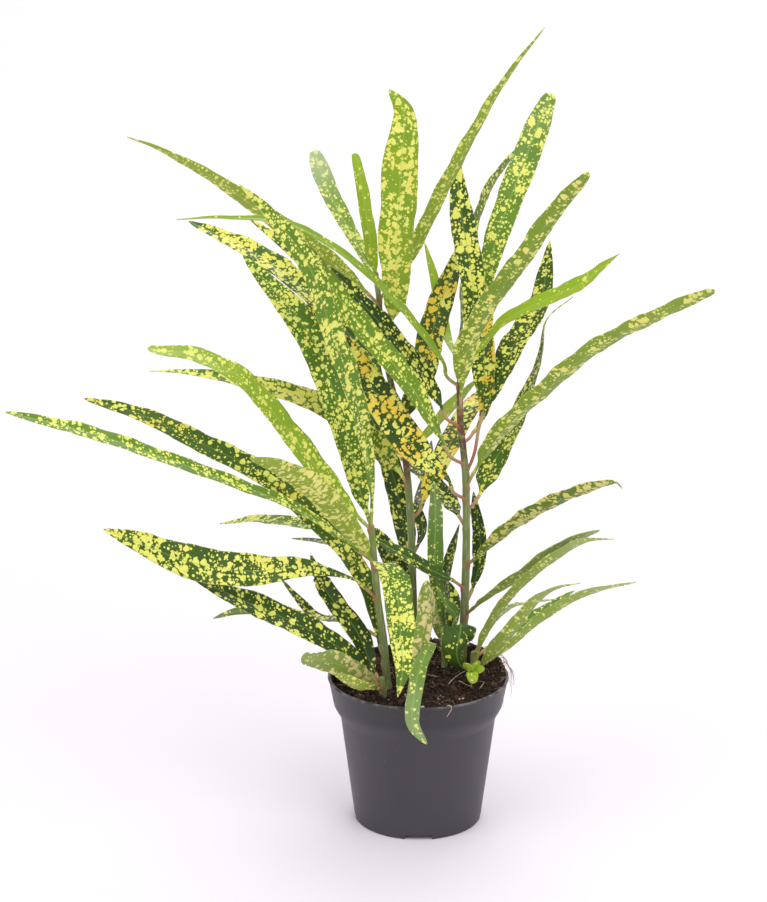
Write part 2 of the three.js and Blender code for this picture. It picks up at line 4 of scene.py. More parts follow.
import bmesh
import bpy
import numpy as np
from mathutils import Matrix, Vector, noise


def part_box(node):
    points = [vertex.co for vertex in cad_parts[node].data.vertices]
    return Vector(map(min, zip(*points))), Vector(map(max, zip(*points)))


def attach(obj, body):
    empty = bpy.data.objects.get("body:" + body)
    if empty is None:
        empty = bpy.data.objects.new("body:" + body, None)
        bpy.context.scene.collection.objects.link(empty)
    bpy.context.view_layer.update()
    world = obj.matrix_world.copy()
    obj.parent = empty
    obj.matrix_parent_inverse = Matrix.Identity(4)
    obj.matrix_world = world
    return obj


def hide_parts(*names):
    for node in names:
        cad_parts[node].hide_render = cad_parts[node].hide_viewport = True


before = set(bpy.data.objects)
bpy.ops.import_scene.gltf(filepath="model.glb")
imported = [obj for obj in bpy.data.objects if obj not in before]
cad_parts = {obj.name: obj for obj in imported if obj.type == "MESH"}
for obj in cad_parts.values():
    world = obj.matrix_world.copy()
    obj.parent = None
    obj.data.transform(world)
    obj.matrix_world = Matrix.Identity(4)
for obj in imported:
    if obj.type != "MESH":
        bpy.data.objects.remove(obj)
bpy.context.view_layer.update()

MM = 0.001
FULL_TURN = 2 * math.pi
ANY_ANGLE = (0, 6.28)

# Leaf shape
STALK_RADIUS = 1.1
SEEDLING_STALK_RADIUS = 0.6
BLADE_HALF_THICKNESS = 0.27
NARROWEST_HALF = 0.15
BLADE_FLAT_FROM = 0.1
RIB_RADIUS, RIB_TAPER = 0.75, 0.7
RIB_ABOVE, RIB_BELOW = 0.25, 0.9
STALK_STATIONS = 9
BLADE_STATIONS = 76
BLADE_COLUMNS = 16
COLUMN_CROWDING = 1.4
WAVE_LENGTHS = (26, 44)
WAVE_HEIGHT = 0.07
WAVE_WIDTH, RAGGED_WIDTH = 0.03, 0.06
SMALL_WAVE_LENGTH, SMALL_WAVE_HEIGHT = 0.37, 0.35
BEND_LENGTH, BEND_WIDTH = 95, 0.35
BLOOM_AND_SHEEN_AT_BASE = 0.15
SWELLING, SWELLING_AT_STEM, SWELLING_AT_BLADE = 0.45, 1.8, 2.2
TORN_FROM, TORN_TO = 0.72, 0.95

# Values that the materials read: for each point of a leaf, for a whole leaf, and for stems
POINT_MARKS = ("across", "along", "under", "edge", "stalk", "bloom")
LEAF_MARKS = ("tone", "dots", "blotches", "gold", "beige", "rib", "seed", "ruddy")
STEM_MARKS = ("joint", "brown", "height")
STYLE_SPREAD = (("tone", 0.06), ("dots", 0.08), ("blotches", 0.08))

# The map for baking: strips for each face, and how much of a strip's width and height they fill
BAKE_STRIPS = 3
BAKE_HALF_WIDTH = 0.46
BAKE_BORDER = 0.02

# Stem shape
STEM_SIDES = 24
STEM_RING_SPACING = 1.2
STEM_ROOT = 70
STEM_FOOT = 95
KNOB_HALF_HEIGHT = 1.9
KNOB_GROWTH, BUMP_GROWTH, RIDGE_GROWTH, RIDGES = 0.3, 0.05, 0.02, 5
STEM_TOP_SHARE = 0.8
SCAR_SIZE = 0.45
SCAR_SPACING = (5, 13)
SCAR_ABOVE_FOOT, SCAR_BELOW_LEAF = 5, 4
BROWN_BLEND = 8


def look(tone, dots, blotches=0.0, gold=0.0, beige=0.0, rib=0.3):
    """A style: freshness of the green, dots, blotches, their gold and beige, and the midrib."""
    return dict(tone=tone, dots=dots, blotches=blotches, gold=gold, beige=beige, rib=rib)


STYLES = {
    "dark": look(0.02, 0.45, 0.12, gold=0.1),
    "dotted": look(0.03, 0.25, 0.12),
    # Painted shade as well as sparse spots: darkest green with few spots, for the low inner leaves
    # that lie in shade
    "shaded_sparse": look(0.05, 0.14, 0.04, rib=0.4),
    "speckled": look(0.16, 0.6, 0.25, gold=0.1, rib=0.35),
    "peppered": look(0.45, 0.75, 0.10, rib=0.35),
    "freckled": look(0.26, 0.9, 0.25, rib=0.4),
    "golden": look(0.12, 0.6, 0.75, gold=0.8, rib=0.35),
    "ochre": look(0.12, 0.5, 0.45, gold=0.3, rib=0.25),
    "creamy": look(0.36, 0.6, 0.95, gold=0.1, beige=0.1, rib=0.2),
    "gilded": look(0.20, 0.6, 0.9, gold=0.45, beige=0.3, rib=0.2),
    "painted": look(0.13, 0.7, 0.6, gold=0.1),
    "splashed": look(0.20, 0.75, 0.85, gold=0.15, rib=0.25),
    "bright": look(0.5, 0.6, 0.55, gold=0.05, beige=0.1, rib=0.35),
    "sunny": look(0.72, 0.55, 0.6, gold=0.15, beige=0.05, rib=0.35),
    "mellow": look(0.55, 0.4, 0.35, beige=0.05),
    "green": look(0.60, 0.5, 0.15, rib=0.5),
    "quiet": look(0.12, 0.05, rib=0.45),
    "leafy": look(0.34, 0.16, rib=0.4),
    "lime": look(0.85, 0.4, 0.25, rib=0.35),
    "fresh": look(0.95, 0.12),
    "plain": look(0.75, 0.08),
    "dusty": look(0.45, 0.25, 0.04, beige=0.1),
    "beige": look(0.22, 0.5, 0.6, gold=0.3, beige=0.8),
}


# What a leaf is like unless its row says otherwise
USUAL_LEAF = dict(twist=0, widest=0.45, rise=0.7, taper=0.7, stalk=13, wave=1.0, fold=0.16,
                  torn=0.0, bloom=0.0, pale=1.0, ruddy=1.0)


def leaf(start, through, tip, width, turn, style, **unusual):
    """One leaf: it leaves the stem at height start, runs through the points and ends at tip.

    Turn and twist are degrees about the midrib. Widest is the place of the widest point, a large
    rise makes a long narrow base, and a small taper a blunt tip. Wave, fold, torn and bloom are
    the shares of waviness, fold, torn tip and a whitish bloom that is partly real dullness and
    partly painted sheen. Pale is the share of the usual paleness underneath, and ruddy is 1 for a
    stalk that is always red.
    """
    return dict(USUAL_LEAF, start=start, through=through, tip=tip, width=width, turn=turn,
                style=style, **unusual)


STEM_RIGHT_LEAVES = [
    leaf(131, [(42, 12, 147), (66, -18, 176), (92, -48, 207)], (113, -62, 221), 13, -20, "dusty",
         twist=-20, widest=0.6, rise=0.4, taper=0.6, bloom=0.35),
    leaf(137, [(38, 38, 151), (42, 50, 170)], (38, 68, 206), 12, -30, "dark", rise=0.6),
    leaf(150, [(21, 18, 161), (-4, 6, 178)], (-30, -2, 196), 14, 35, "shaded_sparse", rise=0.5, stalk=16),
    leaf(167, [(39, 16, 177), (58, -8, 205), (82, -36, 230), (105, -62, 249), (119, -76, 257)],
         (124, -80, 254), 15, -25, "gilded", twist=-20, widest=0.5, rise=0.5, taper=0.5, stalk=12,
         pale=0.6),
    leaf(192, [(25, 44, 200), (11, 69, 211), (-4, 87, 223)], (-25, 109, 236), 18, 0, "dark",
         widest=0.55, rise=0.3),
    leaf(204, [(41, 36, 214), (51, 50, 233), (68, 70, 261), (83, 88, 296), (87, 98, 318)],
         (106, 112, 331), 21, -20, "speckled", twist=-70, widest=0.2, rise=0.5, taper=1.5,
         stalk=14),
    leaf(213, [(23, 18, 221), (18, 12, 233), (-2, 6, 253), (-27, 4, 291), (-55, 16, 324)],
         (-77, 30, 346), 22, 70, "golden", widest=0.35, rise=1.1, taper=0.5, stalk=20),
    leaf(221, [(38, 20, 237), (52, 0, 267), (82, -28, 307), (110, -50, 337), (145, -70, 362)],
         (176, -85, 380), 17, -25, "mellow", twist=-20, widest=0.2, rise=0.9, taper=0.2, stalk=14,
         pale=0.6),
    leaf(230, [(37, 34, 243), (41, 42, 262), (50, 56, 280), (64, 76, 307), (83, 98, 332)],
         (90, 124, 367), 20, -5, "speckled", stalk=42),
    leaf(237, [(20, 18, 246), (14, 12, 261), (-3, 0, 294), (-32, -12, 335), (-54, -21, 365)],
         (-71, -28, 394), 16, 75, "green", twist=10, rise=0.6, taper=0.3, stalk=26),
    leaf(252, [(35, 38, 254), (44, 50, 268), (44, 68, 291), (44, 88, 310)], (50, 112, 325), 18,
         -15, "golden", widest=0.6, rise=1.0, stalk=17),
    leaf(263, [(18, 22, 270), (14, 20, 280), (1, 18, 303), (-21, 13, 332), (-41, 7, 355)],
         (-57, 2, 375), 16, 55, "dark", widest=0.55, rise=0.3, taper=0.6, stalk=20),
    leaf(273, [(28, 22, 293), (31, 8, 324), (46, -8, 358), (64, -24, 387), (82, -42, 420),
         (95, -58, 440)], (100, -64, 448), 17, -15, "mellow", twist=-20, widest=0.2, rise=0.8,
         taper=0.3, stalk=12, pale=0.6),
    leaf(290, [(18, 24, 298), (14, 14, 313), (-12, -6, 351), (-44, -26, 387), (-80, -44, 412),
         (-119, -57, 419)], (-148, -64, 419), 9, 40, "plain", twist=-30, widest=0.3, rise=0.3,
         taper=0.8, stalk=18),
    leaf(300, [(39, 26, 315), (56, 20, 337), (81, 10, 353), (101, -2, 365), (115, -10, 378)],
         (124, -18, 388), 13, 40, "fresh", twist=10, widest=0.65, rise=0.3, taper=1.0),
    leaf(304, [(18, 74, 316), (11, 104, 347)], (5, 122, 367), 8, -10, "fresh", widest=0.5),
    leaf(311, [(31, 30, 324), (35, 34, 347), (33, 38, 371), (26, 48, 410)], (24, 56, 436), 17, 0,
         "painted", widest=0.55, rise=0.4, stalk=12),
    leaf(315, [(37, 38, 334), (44, 46, 363), (59, 60, 406), (75, 80, 445), (83, 88, 463)],
         (88, 92, 472), 18, 35, "peppered", widest=0.7, rise=0.6, taper=0.3, bloom=0.1),
    leaf(318, [(32, 92, 354), (46, 122, 399)], (70, 146, 429), 14, -95, "dark"),
]
STEM_MIDDLE_LEAVES = [
    leaf(140, [(-6, 58, 161), (-11, 86, 190), (-21, 107, 220)], (-34, 120, 250), 19, -10, "dark",
         widest=0.5, rise=0.9),
    leaf(142, [(-9, 30, 158), (-14, 24, 168), (-20, 18, 180)], (-29, 12, 198), 16, 90, "dark",
         rise=0.6, taper=0.6, stalk=9),
    leaf(170, [(3, 48, 185)], (-2, 64, 201), 9, -35, "dark", widest=0.5, stalk=8),
    leaf(195, [(5, 100, 197)], (11, 158, 216), 14, -40, "shaded_sparse"),
    leaf(196, [(1, 42, 200), (5, 47, 209), (11, 60, 221), (20, 78, 233), (36, 112, 251)],
         (65, 162, 269), 17, 0, "golden", rise=0.4, stalk=14, wave=0.8),
    leaf(220, [(-13, 32, 232), (-20, 29, 242), (-27, 26, 250), (-65, 22, 280), (-110, 24, 294),
         (-149, 30, 299)], (-176, 34, 299), 18, 40, "creamy", twist=-40, widest=0.25, rise=0.3,
         taper=0.9, stalk=8),
    leaf(241, [(15, 66, 258)], (41, 98, 276), 15, -75, "plain"),
    leaf(252, [(-8, 40, 271), (4, 48, 295), (12, 58, 331)], (30, 70, 379), 19, 25, "golden",
         widest=0.5, rise=0.4, stalk=10),
    leaf(279, [(-37, 52, 309), (-75, 80, 344), (-116, 104, 367)], (-155, 122, 381), 19, 20,
         "splashed", widest=0.6, rise=0.3, taper=0.6),
    leaf(313, [(-48, 46, 339), (-83, 60, 374)], (-111, 70, 393), 13, 30, "splashed", widest=0.4,
         rise=0.6),
    leaf(320, [(-15, 22, 349), (-15, 8, 395), (-12, 0, 441), (-10, -4, 473)], (-20, -6, 489), 24,
         5, "sunny", widest=0.6, rise=0.4, pale=0.0),
    leaf(343, [(-44, 20, 364), (-82, -10, 401), (-117, -38, 433), (-154, -62, 460)],
         (-175, -75, 471), 14, -40, "green", twist=20, widest=0.3, rise=0.4, taper=0.8),
    leaf(346, [(-8, 38, 371), (12, 24, 415), (44, -2, 482)], (75, -20, 529), 13, -20, "green",
         twist=20, widest=0.3, rise=0.3, pale=0.6),
    leaf(354, [(-31, 40, 382), (-36, 50, 409), (-40, 57, 430)], (-42, 60, 438), 10, 0, "fresh",
         widest=0.3, taper=0.2, stalk=8),
    leaf(356, [(-38, 54, 375), (-53, 80, 397), (-63, 98, 416), (-66, 104, 424)], (-69, 112, 431),
         13, 10, "green", twist=10, widest=0.8, rise=0.5, taper=0.3, stalk=10, bloom=0.6),
]
STEM_LEFT_LEAVES = [
    leaf(112, [(-25, -12, 123), (-27, -11, 135), (-29, -10, 150), (-33, -7, 164), (-41, -2, 177),
         (-55, 4, 195), (-97, 20, 229), (-144, 40, 249), (-185, 54, 264)], (-223, 66, 272), 16, 40,
         "ochre", twist=-20, widest=0.55, rise=0.3, taper=0.5),
    leaf(129, [(-37, 3, 132), (-49, 13, 133), (-67, 32, 129), (-77, 40, 135)], (-92, 52, 149), 10,
         5, "dark", widest=0.4),
    leaf(157, [(-36, -18, 168), (-45, -26, 177), (-76, -44, 190), (-107, -58, 193),
         (-144, -72, 203), (-174, -83, 220)], (-195, -90, 231), 23, 60, "painted", widest=0.6,
         rise=1.6, stalk=14, wave=1.5),
    leaf(179, [(-23, -34, 190), (-16, -50, 184), (-13, -60, 171), (-12, -68, 150),
         (-11, -73, 133)], (-14, -75, 114), 20, -10, "freckled", rise=0.2, taper=0.8, stalk=8),
    leaf(180, [(-41, -36, 209), (-62, -74, 248), (-82, -100, 272)], (-103, -118, 285), 17, -40,
         "mellow", twist=-10, widest=0.6, rise=0.4, taper=0.6, stalk=10),
    leaf(183, [(-77, -36, 227), (-113, -48, 246), (-150, -58, 264), (-186, -67, 280),
         (-222, -74, 293)], (-254, -80, 303), 12, 30, "peppered", widest=0.75, rise=0.3, taper=0.6,
         stalk=14),
    leaf(190, [(-60, 52, 175)], (-86, 82, 168), 8, 15, "shaded_sparse"),
    leaf(195, [(-48, 12, 195), (-79, 44, 191), (-107, 70, 186)], (-136, 92, 175), 12, 15, "creamy",
         twist=10, widest=0.55, rise=0.3, taper=0.6),
    leaf(205, [(-48, -20, 226), (-77, -30, 268), (-110, -38, 312), (-140, -46, 330),
         (-160, -49, 333)], (-169, -50, 335), 17, 50, "lime", twist=-40, widest=0.35, rise=0.5,
         taper=0.3, stalk=9, bloom=0.1),
    leaf(207, [(-38, -10, 231), (-48, -6, 274), (-64, 2, 319), (-85, 12, 349)], (-113, 24, 378),
         22, 40, "freckled", widest=0.55, rise=0.4, stalk=6, ruddy=0.1),
    leaf(208, [(-31, -22, 241), (-38, -38, 292), (-54, -52, 344), (-67, -62, 388),
         (-90, -71, 422)], (-109, -76, 443), 17, 85, "bright", widest=0.6, taper=0.8, stalk=10,
         ruddy=0.1),
]
SHOOT_FRONT_LEFT_LEAVES = [
    leaf(99, [(-37, -28, 116), (-60, -34, 138), (-90, -38, 156), (-119, -42, 170)],
         (-146, -44, 184), 20, 35, "dotted", widest=0.55, rise=0.3, stalk=12),
    leaf(100, [(-35, -52, 112)], (-55, -74, 130), 12, -30, "green", stalk=10),
    leaf(101, [(-32, -16, 115), (-42, -8, 136), (-60, 4, 157)], (-71, 10, 180), 15, 20, "dark",
         rise=0.4, taper=0.4, stalk=10, wave=2, torn=0.7),
    leaf(101, [(-37, -42, 115), (-54, -54, 129)], (-75, -64, 137), 16, -70, "beige", twist=-10,
         widest=0.55, rise=0.8, taper=0.3, stalk=10, wave=2, torn=0.3, bloom=0.15),
    leaf(103, [(-59, 26, 117), (-100, 42, 129), (-122, 52, 126)], (-139, 56, 119), 12, -65,
         "shaded_sparse", widest=0.5),
]
SHOOT_FRONT_RIGHT_LEAVES = [
    leaf(101, [(46, -8, 116), (58, -24, 139), (72, -44, 166), (85, -62, 182)], (100, -76, 191), 10,
         -30, "dusty", twist=20, widest=0.25, rise=0.8, stalk=8, bloom=0.3),
    leaf(101, [(56, 0, 117), (79, -8, 142), (108, -20, 164)], (139, -34, 177), 9, -45, "dusty",
         widest=0.5, rise=0.6, stalk=10, bloom=0.35),
    leaf(101, [(29, -2, 106), (24, -7, 117), (25, -7, 128), (28, 0, 133)], (31, 18, 125), 21, 0,
         "quiet", widest=0.55, rise=1.3, taper=0.5, stalk=5, wave=0.5, fold=-0.5),
    leaf(102, [(43, -2, 129), (56, -16, 157), (77, -40, 189), (100, -62, 213)], (120, -80, 221), 9,
         -25, "dusty", twist=-20, widest=0.6, rise=0.3, taper=0.6, stalk=10, bloom=0.3),
    leaf(109, [(61, 32, 118)], (108, 68, 135), 10, 10, "leafy"),
    leaf(112, [(59, 48, 128)], (97, 88, 122), 9, -10, "dusty", bloom=0.25),
]
SHOOT_CENTRE_LEAVES = [
    leaf(105, [(18, 34, 151), (21, 38, 167)], (28, 48, 189), 14, -40, "shaded_sparse", stalk=10),
    leaf(106, [(21, 42, 127), (22, 52, 137)], (20, 60, 145), 16, 5, "dotted", widest=0.55,
         stalk=10),
    leaf(107, [(9, 2, 147), (6, -10, 161), (3, -20, 142), (-2, -30, 124)], (-5, -35, 107), 16,
         -100, "beige", twist=-90, widest=0.65, rise=0.6, stalk=10),
    leaf(107, [(11, 3, 120), (8, -24, 130), (0, -52, 125), (-4, -70, 110), (-4, -74, 95)],
         (5, -75, 82), 10, 15, "dusty", widest=0.75, taper=0.6, stalk=10, wave=1.3, bloom=0.3),
    leaf(109, [(25, 18, 134), (20, 12, 144)], (12, 6, 160), 9, 90, "leafy", widest=0.4, stalk=10),
    leaf(109, [(12, 22, 166), (11, 24, 203)], (10, 26, 226), 11, 45, "leafy", widest=0.65,
         rise=0.6, taper=0.6, stalk=10, bloom=0.15),
]
SEEDLING_LEAVES = [
    leaf(start, [middle], tip, width, turn, "fresh", rise=0.4, taper=0.4, stalk=3, wave=0.3)
    for start, middle, tip, width, turn in (
        (105, (37, -14, 111), (40, -11, 114), 6, 0),
        (106, (38, -19, 110), (43, -21, 112), 6, 50),
        (107, (33, -20, 111), (31, -23, 117), 8, 0),
        (108, (35, -22, 110), (36, -26, 104), 8, 0),
    )
]
STEMS = {
    "leafy_stem_right": dict(
        axis=[(30, 28, 98), (32, 28, 171), (31, 27, 230), (27, 27, 271), (27, 28, 323)],
        radii=(3.0, 1.9), brown=(243, 300), leaves=STEM_RIGHT_LEAVES),
    "leafy_stem_middle": dict(
        axis=[(-2, 35, 97), (-5, 35, 196), (-11, 35, 259), (-21, 35, 305), (-28, 34, 365)],
        radii=(2.9, 1.7), brown=(225, 345), leaves=STEM_MIDDLE_LEAVES),
    "leafy_stem_left": dict(
        axis=[(-20, -13, 92), (-23, -13, 129), (-27, -13, 160), (-31, -14, 209)], radii=(2.8, 2.2),
        leaves=STEM_LEFT_LEAVES),
    "leafy_shoot_front_left": dict(
        axis=[(-23, -25, 92), (-24, -25, 108)], radii=(2.6, 2.0), leaves=SHOOT_FRONT_LEFT_LEAVES),
    "leafy_shoot_front_right": dict(
        axis=[(37, 5, 95), (37, 6, 114)], radii=(3.0, 2.2), leaves=SHOOT_FRONT_RIGHT_LEAVES),
    "leafy_shoot_centre": dict(
        axis=[(18, 21, 96), (18, 21, 114)], radii=(2.4, 1.8), leaves=SHOOT_CENTRE_LEAVES),
    "seedling": dict(
        axis=[(35, -16, 95), (34, -17, 109)], radii=(0.9, 0.7), leaves=SEEDLING_LEAVES),
}


# Camera and light
CAMERA_PLACE = (-0.023, -1.587, 0.720)
CAMERA_PITCH_DOWN = 16.35
CAMERA_LENS = 102.2
SKY_COLOUR, SKY_STRENGTH = (1, 0.99, 1, 1), 0.9
PLANT_MIDDLE = (0, 0, 0.25)
# Name, place, size and power of each lamp
LAMPS = (
    ("key light", (0.9, -1.3, 1.9), (1.4, 1.4), 17.5),
    ("fill light", (-1.4, -1.0, 1.0), (1.2, 1.2), 9),
    ("back light", (0.3, 1.1, 1.6), (1.2, 0.8), 11),
)


def add_camera():
    data = bpy.data.cameras.new("camera")
    data.lens = CAMERA_LENS
    data.sensor_width = 36
    data.clip_end = 50
    camera = bpy.data.objects.new("camera", data)
    camera.location = CAMERA_PLACE
    camera.rotation_euler = (math.radians(90 - CAMERA_PITCH_DOWN), 0, 0)
    bpy.context.scene.collection.objects.link(camera)
    bpy.context.scene.camera = camera


def add_light():
    world = bpy.data.worlds.new("studio")
    world.use_nodes = True
    background = world.node_tree.nodes["Background"]
    background.inputs["Color"].default_value = SKY_COLOUR
    background.inputs["Strength"].default_value = SKY_STRENGTH
    bpy.context.scene.world = world
    for name, place, size, power in LAMPS:
        data = bpy.data.lights.new(name, "AREA")
        data.shape = "RECTANGLE"
        data.size, data.size_y = size
        data.energy = power
        lamp = bpy.data.objects.new(name, data)
        lamp.location = place
        direction = Vector(PLANT_MIDDLE) - Vector(place)
        lamp.rotation_euler = direction.to_track_quat("-Z", "Y").to_euler()
        bpy.context.scene.collection.objects.link(lamp)


# Mesh helpers
def new_object(name, vertices, faces):
    mesh = bpy.data.meshes.new(name)
    mesh.from_pydata([tuple(v) for v in vertices], [], faces)
    mesh.update()
    made = bpy.data.objects.new(name, mesh)
    bpy.context.scene.collection.objects.link(made)
    return made


def shade_smooth(piece, angle):
    piece.data.shade_smooth()
    piece.data.set_sharp_from_angle(angle=math.radians(angle))


def point_attribute(mesh, name, values):
    attribute = mesh.attributes.new(name, "FLOAT", "POINT")
    attribute.data.foreach_set("value", np.asarray(values, np.float32))


def smooth_step(low, high, value):
    t = min(max((value - low) / (high - low), 0), 1)
    return t * t * (3 - 2 * t)


def polar(radius, angle):
    return radius * math.cos(angle), radius * math.sin(angle)


def circle(count):
    return [FULL_TURN * step / count for step in range(count)]


def neighbours(count):
    return [(step, (step + 1) % count) for step in range(count)]


def tube_faces(start, rings, sides):
    """Faces that join rings of points, from the point start on, into a tube with closed ends."""
    faces = []
    for ring in range(rings - 1):
        a, b = start + ring * sides, start + (ring + 1) * sides
        faces += [(a + k, a + following, b + following, b + k)
                  for k, following in neighbours(sides)]
    last = start + (rings - 1) * sides
    faces.append(tuple(start + side for side in reversed(range(sides))))
    faces.append(tuple(last + side for side in range(sides)))
    return faces


def spline(points):
    """Place and direction at a share of a smooth curve through the points, and its length."""
    points = np.array(points, float)
    ends = np.vstack([2 * points[0] - points[1], points, 2 * points[-1] - points[-2]])
    dense, steps = [], 60
    for part in range(len(points) - 1):
        before, a, b, after = ends[part:part + 4]
        slope_a, slope_b = (b - before) / 2, (after - a) / 2
        for step in range(steps):
            t = step / steps
            dense.append((2 * a - 2 * b + slope_a + slope_b) * t ** 3
                         + (-3 * a + 3 * b - 2 * slope_a - slope_b) * t ** 2 + slope_a * t + a)
    dense.append(points[-1])
    dense = np.array(dense)
    reach = np.concatenate([[0], np.cumsum(np.linalg.norm(np.diff(dense, axis=0), axis=1))])

    def at(share):
        return np.array([np.interp(share * reach[-1], reach, dense[:, k]) for k in range(3)])

    def along(share):
        gap = 0.004
        step = at(min(share + gap, 1)) - at(max(share - gap, 0))
        return step / np.linalg.norm(step)

    return at, along, reach[-1]


def axis_at_height(stem, height):
    at = spline(stem["axis"])[0]
    low, high = 0.0, 1.0
    for _ in range(30):
        middle = (low + high) / 2
        if at(middle)[2] < height:
            low = middle
        else:
            high = middle
    return at(low)


# Leaves
def blade_outline(place, spec):
    widest = spec["widest"]
    towards_tip = max(0, (place - widest) / (1 - widest))
    rise = math.sin(math.pi / 2 * min(place / widest, 1)) ** spec["rise"]
    fall = max(math.cos(math.pi / 2 * towards_tip), 0) ** spec["taper"]
    return rise * fall


def column_places():
    """Places across the blade from -1 to 1, closer together at the midrib."""
    steps = np.linspace(-1, 1, BLADE_COLUMNS + 1)
    return np.sign(steps) * np.abs(steps) ** COLUMN_CROWDING


def leaf_stations(length, stalk_length):
    """Shares of the whole length, each with its share of the blade, which is 0 on the stalk."""
    stations = [(stalk_length * step / STALK_STATIONS / length, 0.0)
                for step in range(STALK_STATIONS)]
    for step in range(BLADE_STATIONS + 1):
        even = step / BLADE_STATIONS
        blade = 0.75 * even + 0.25 * (1 - math.cos(math.pi * even)) / 2
        stations.append(((stalk_length + blade * (length - stalk_length)) / length, blade))
    return stations


def leaf_faces(stations, width):
    """Upper face, underside, both margins and both ends of a leaf that is width points across."""
    faces = []
    for station in range(stations - 1):
        a, b = 2 * width * station, 2 * width * (station + 1)
        for column in range(width - 1):
            faces.append((a + column, a + column + 1, b + column + 1, b + column))
            low_a, low_b = a + width + column, b + width + column
            faces.append((low_a, low_b, low_b + 1, low_a + 1))
        last = width - 1
        faces.append((a, b, b + width, a + width))
        faces.append((a + last, a + width + last, b + width + last, b + last))
    around = [*range(width)] + [width + column for column in reversed(range(width))]
    start = 2 * width * (stations - 1)
    faces.append(tuple(reversed(around)))
    faces.append(tuple(start + k for k in around))
    return faces


def make_leaf(name, stem, spec, seed, stalk_radius):
    rng = random.Random(seed)
    base = axis_at_height(stem, spec["start"])
    at, along_at, length = spline([base, *spec["through"], spec["tip"]])
    heading = np.array(spec["tip"], float) - base
    heading[2] = 0
    heading /= np.linalg.norm(heading)
    level = np.cross((0, 0, 1), heading)
    hand = -1 if spec["tip"][0] < base[0] else 1
    columns = column_places()
    stalk_length = spec["stalk"]
    wave_length = rng.uniform(*WAVE_LENGTHS)
    phases = (rng.uniform(*ANY_ANGLE), rng.uniform(*ANY_ANGLE))
    sway = rng.uniform(*ANY_ANGLE)
    stations = leaf_stations(length, stalk_length)

    points, marks = [], []
    for share, blade in stations:
        place, along = at(share), along_at(share)
        across = level - along * level.dot(along)
        across /= np.linalg.norm(across)
        degrees = (spec["turn"] + spec["twist"] * (share - 0.5)) * hand
        turning = Matrix.Rotation(math.radians(degrees), 3, Vector(along))
        across = np.array(turning @ Vector(across))
        up = np.cross(along, across)
        reach = share * length
        swollen = math.exp(-(reach / SWELLING_AT_STEM) ** 2)
        swollen += 0.5 * math.exp(-((reach - stalk_length) / SWELLING_AT_BLADE) ** 2)
        round_radius = stalk_radius * (1 + SWELLING * swollen)
        half = max(stalk_radius * (1 - blade), spec["width"] / 2 * blade_outline(blade, spec),
                   NARROWEST_HALF)
        flat = smooth_step(0, BLADE_FLAT_FROM, blade)
        # Whitish bloom, partly real dullness and partly painted sheen, strongest towards the tip
        bloom = spec["bloom"] * (BLOOM_AND_SHEEN_AT_BASE
                                 + (1 - BLOOM_AND_SHEEN_AT_BASE) * smooth_step(0.5, 1.0, blade))
        for side in (1, -1):
            for column in columns:
                ring_x, ring_z = polar(round_radius, side * math.pi / 2 * (1 - column))
                phase = phases[0] if column < 0 else phases[1]
                ripple = math.sin(FULL_TURN * reach / wave_length + phase)
                small = math.sin(FULL_TURN * reach / (wave_length * SMALL_WAVE_LENGTH) + phase * 2)
                lift = half * spec["fold"] * (abs(column) ** 1.3 - 0.5)
                waved = spec["wave"] * half * WAVE_HEIGHT * column ** 2
                lift += waved * (ripple + SMALL_WAVE_HEIGHT * small)
                ragged = noise.noise(Vector((reach * 0.16, phase, 0.5)))
                tear = spec["torn"] * smooth_step(TORN_FROM, TORN_TO, blade)
                tear *= 0.5 + noise.noise(Vector((reach * 0.55, phase, 3.5)))
                grown = half * (1 + WAVE_WIDTH * ripple + RAGGED_WIDTH * ragged - tear)
                rib = math.exp(-(column * half / RIB_RADIUS) ** 2)
                rib = RIB_RADIUS * (1 - RIB_TAPER * blade) * rib
                thick = BLADE_HALF_THICKNESS * (1 - 0.6 * abs(column) ** 6)
                sunk = RIB_ABOVE if side > 0 else RIB_BELOW
                blade_z = lift + side * thick - sunk * rib
                x = ring_x + (column * grown - ring_x) * flat
                z = ring_z + (blade_z - ring_z) * flat
                bend = BEND_WIDTH * math.sin(FULL_TURN * reach / BEND_LENGTH + sway) * flat
                points.append((place + across * (x + bend) + up * z) * MM)
                marks.append((x if flat > 0 else column, reach, 0.0 if side > 0 else spec["pale"],
                              abs(column) * flat, 1 - min(reach / (stalk_length * 1.15), 1),
                              bloom))

    made = new_object(name, points, leaf_faces(len(stations), len(columns)))
    mesh = made.data
    mesh.shade_smooth()
    for key, values in zip(POINT_MARKS, zip(*marks)):
        point_attribute(mesh, key, values)
    traits = dict(STYLES[spec["style"]], ruddy=spec["ruddy"])
    for key, spread in STYLE_SPREAD:
        traits[key] = max(traits[key] + rng.uniform(-spread, spread), 0)
    traits["seed"] = rng.uniform(0, 900)
    for key in LEAF_MARKS:
        point_attribute(mesh, key, [traits[key]] * len(points))
    add_bake_map(mesh, len(stations), columns)
    return made


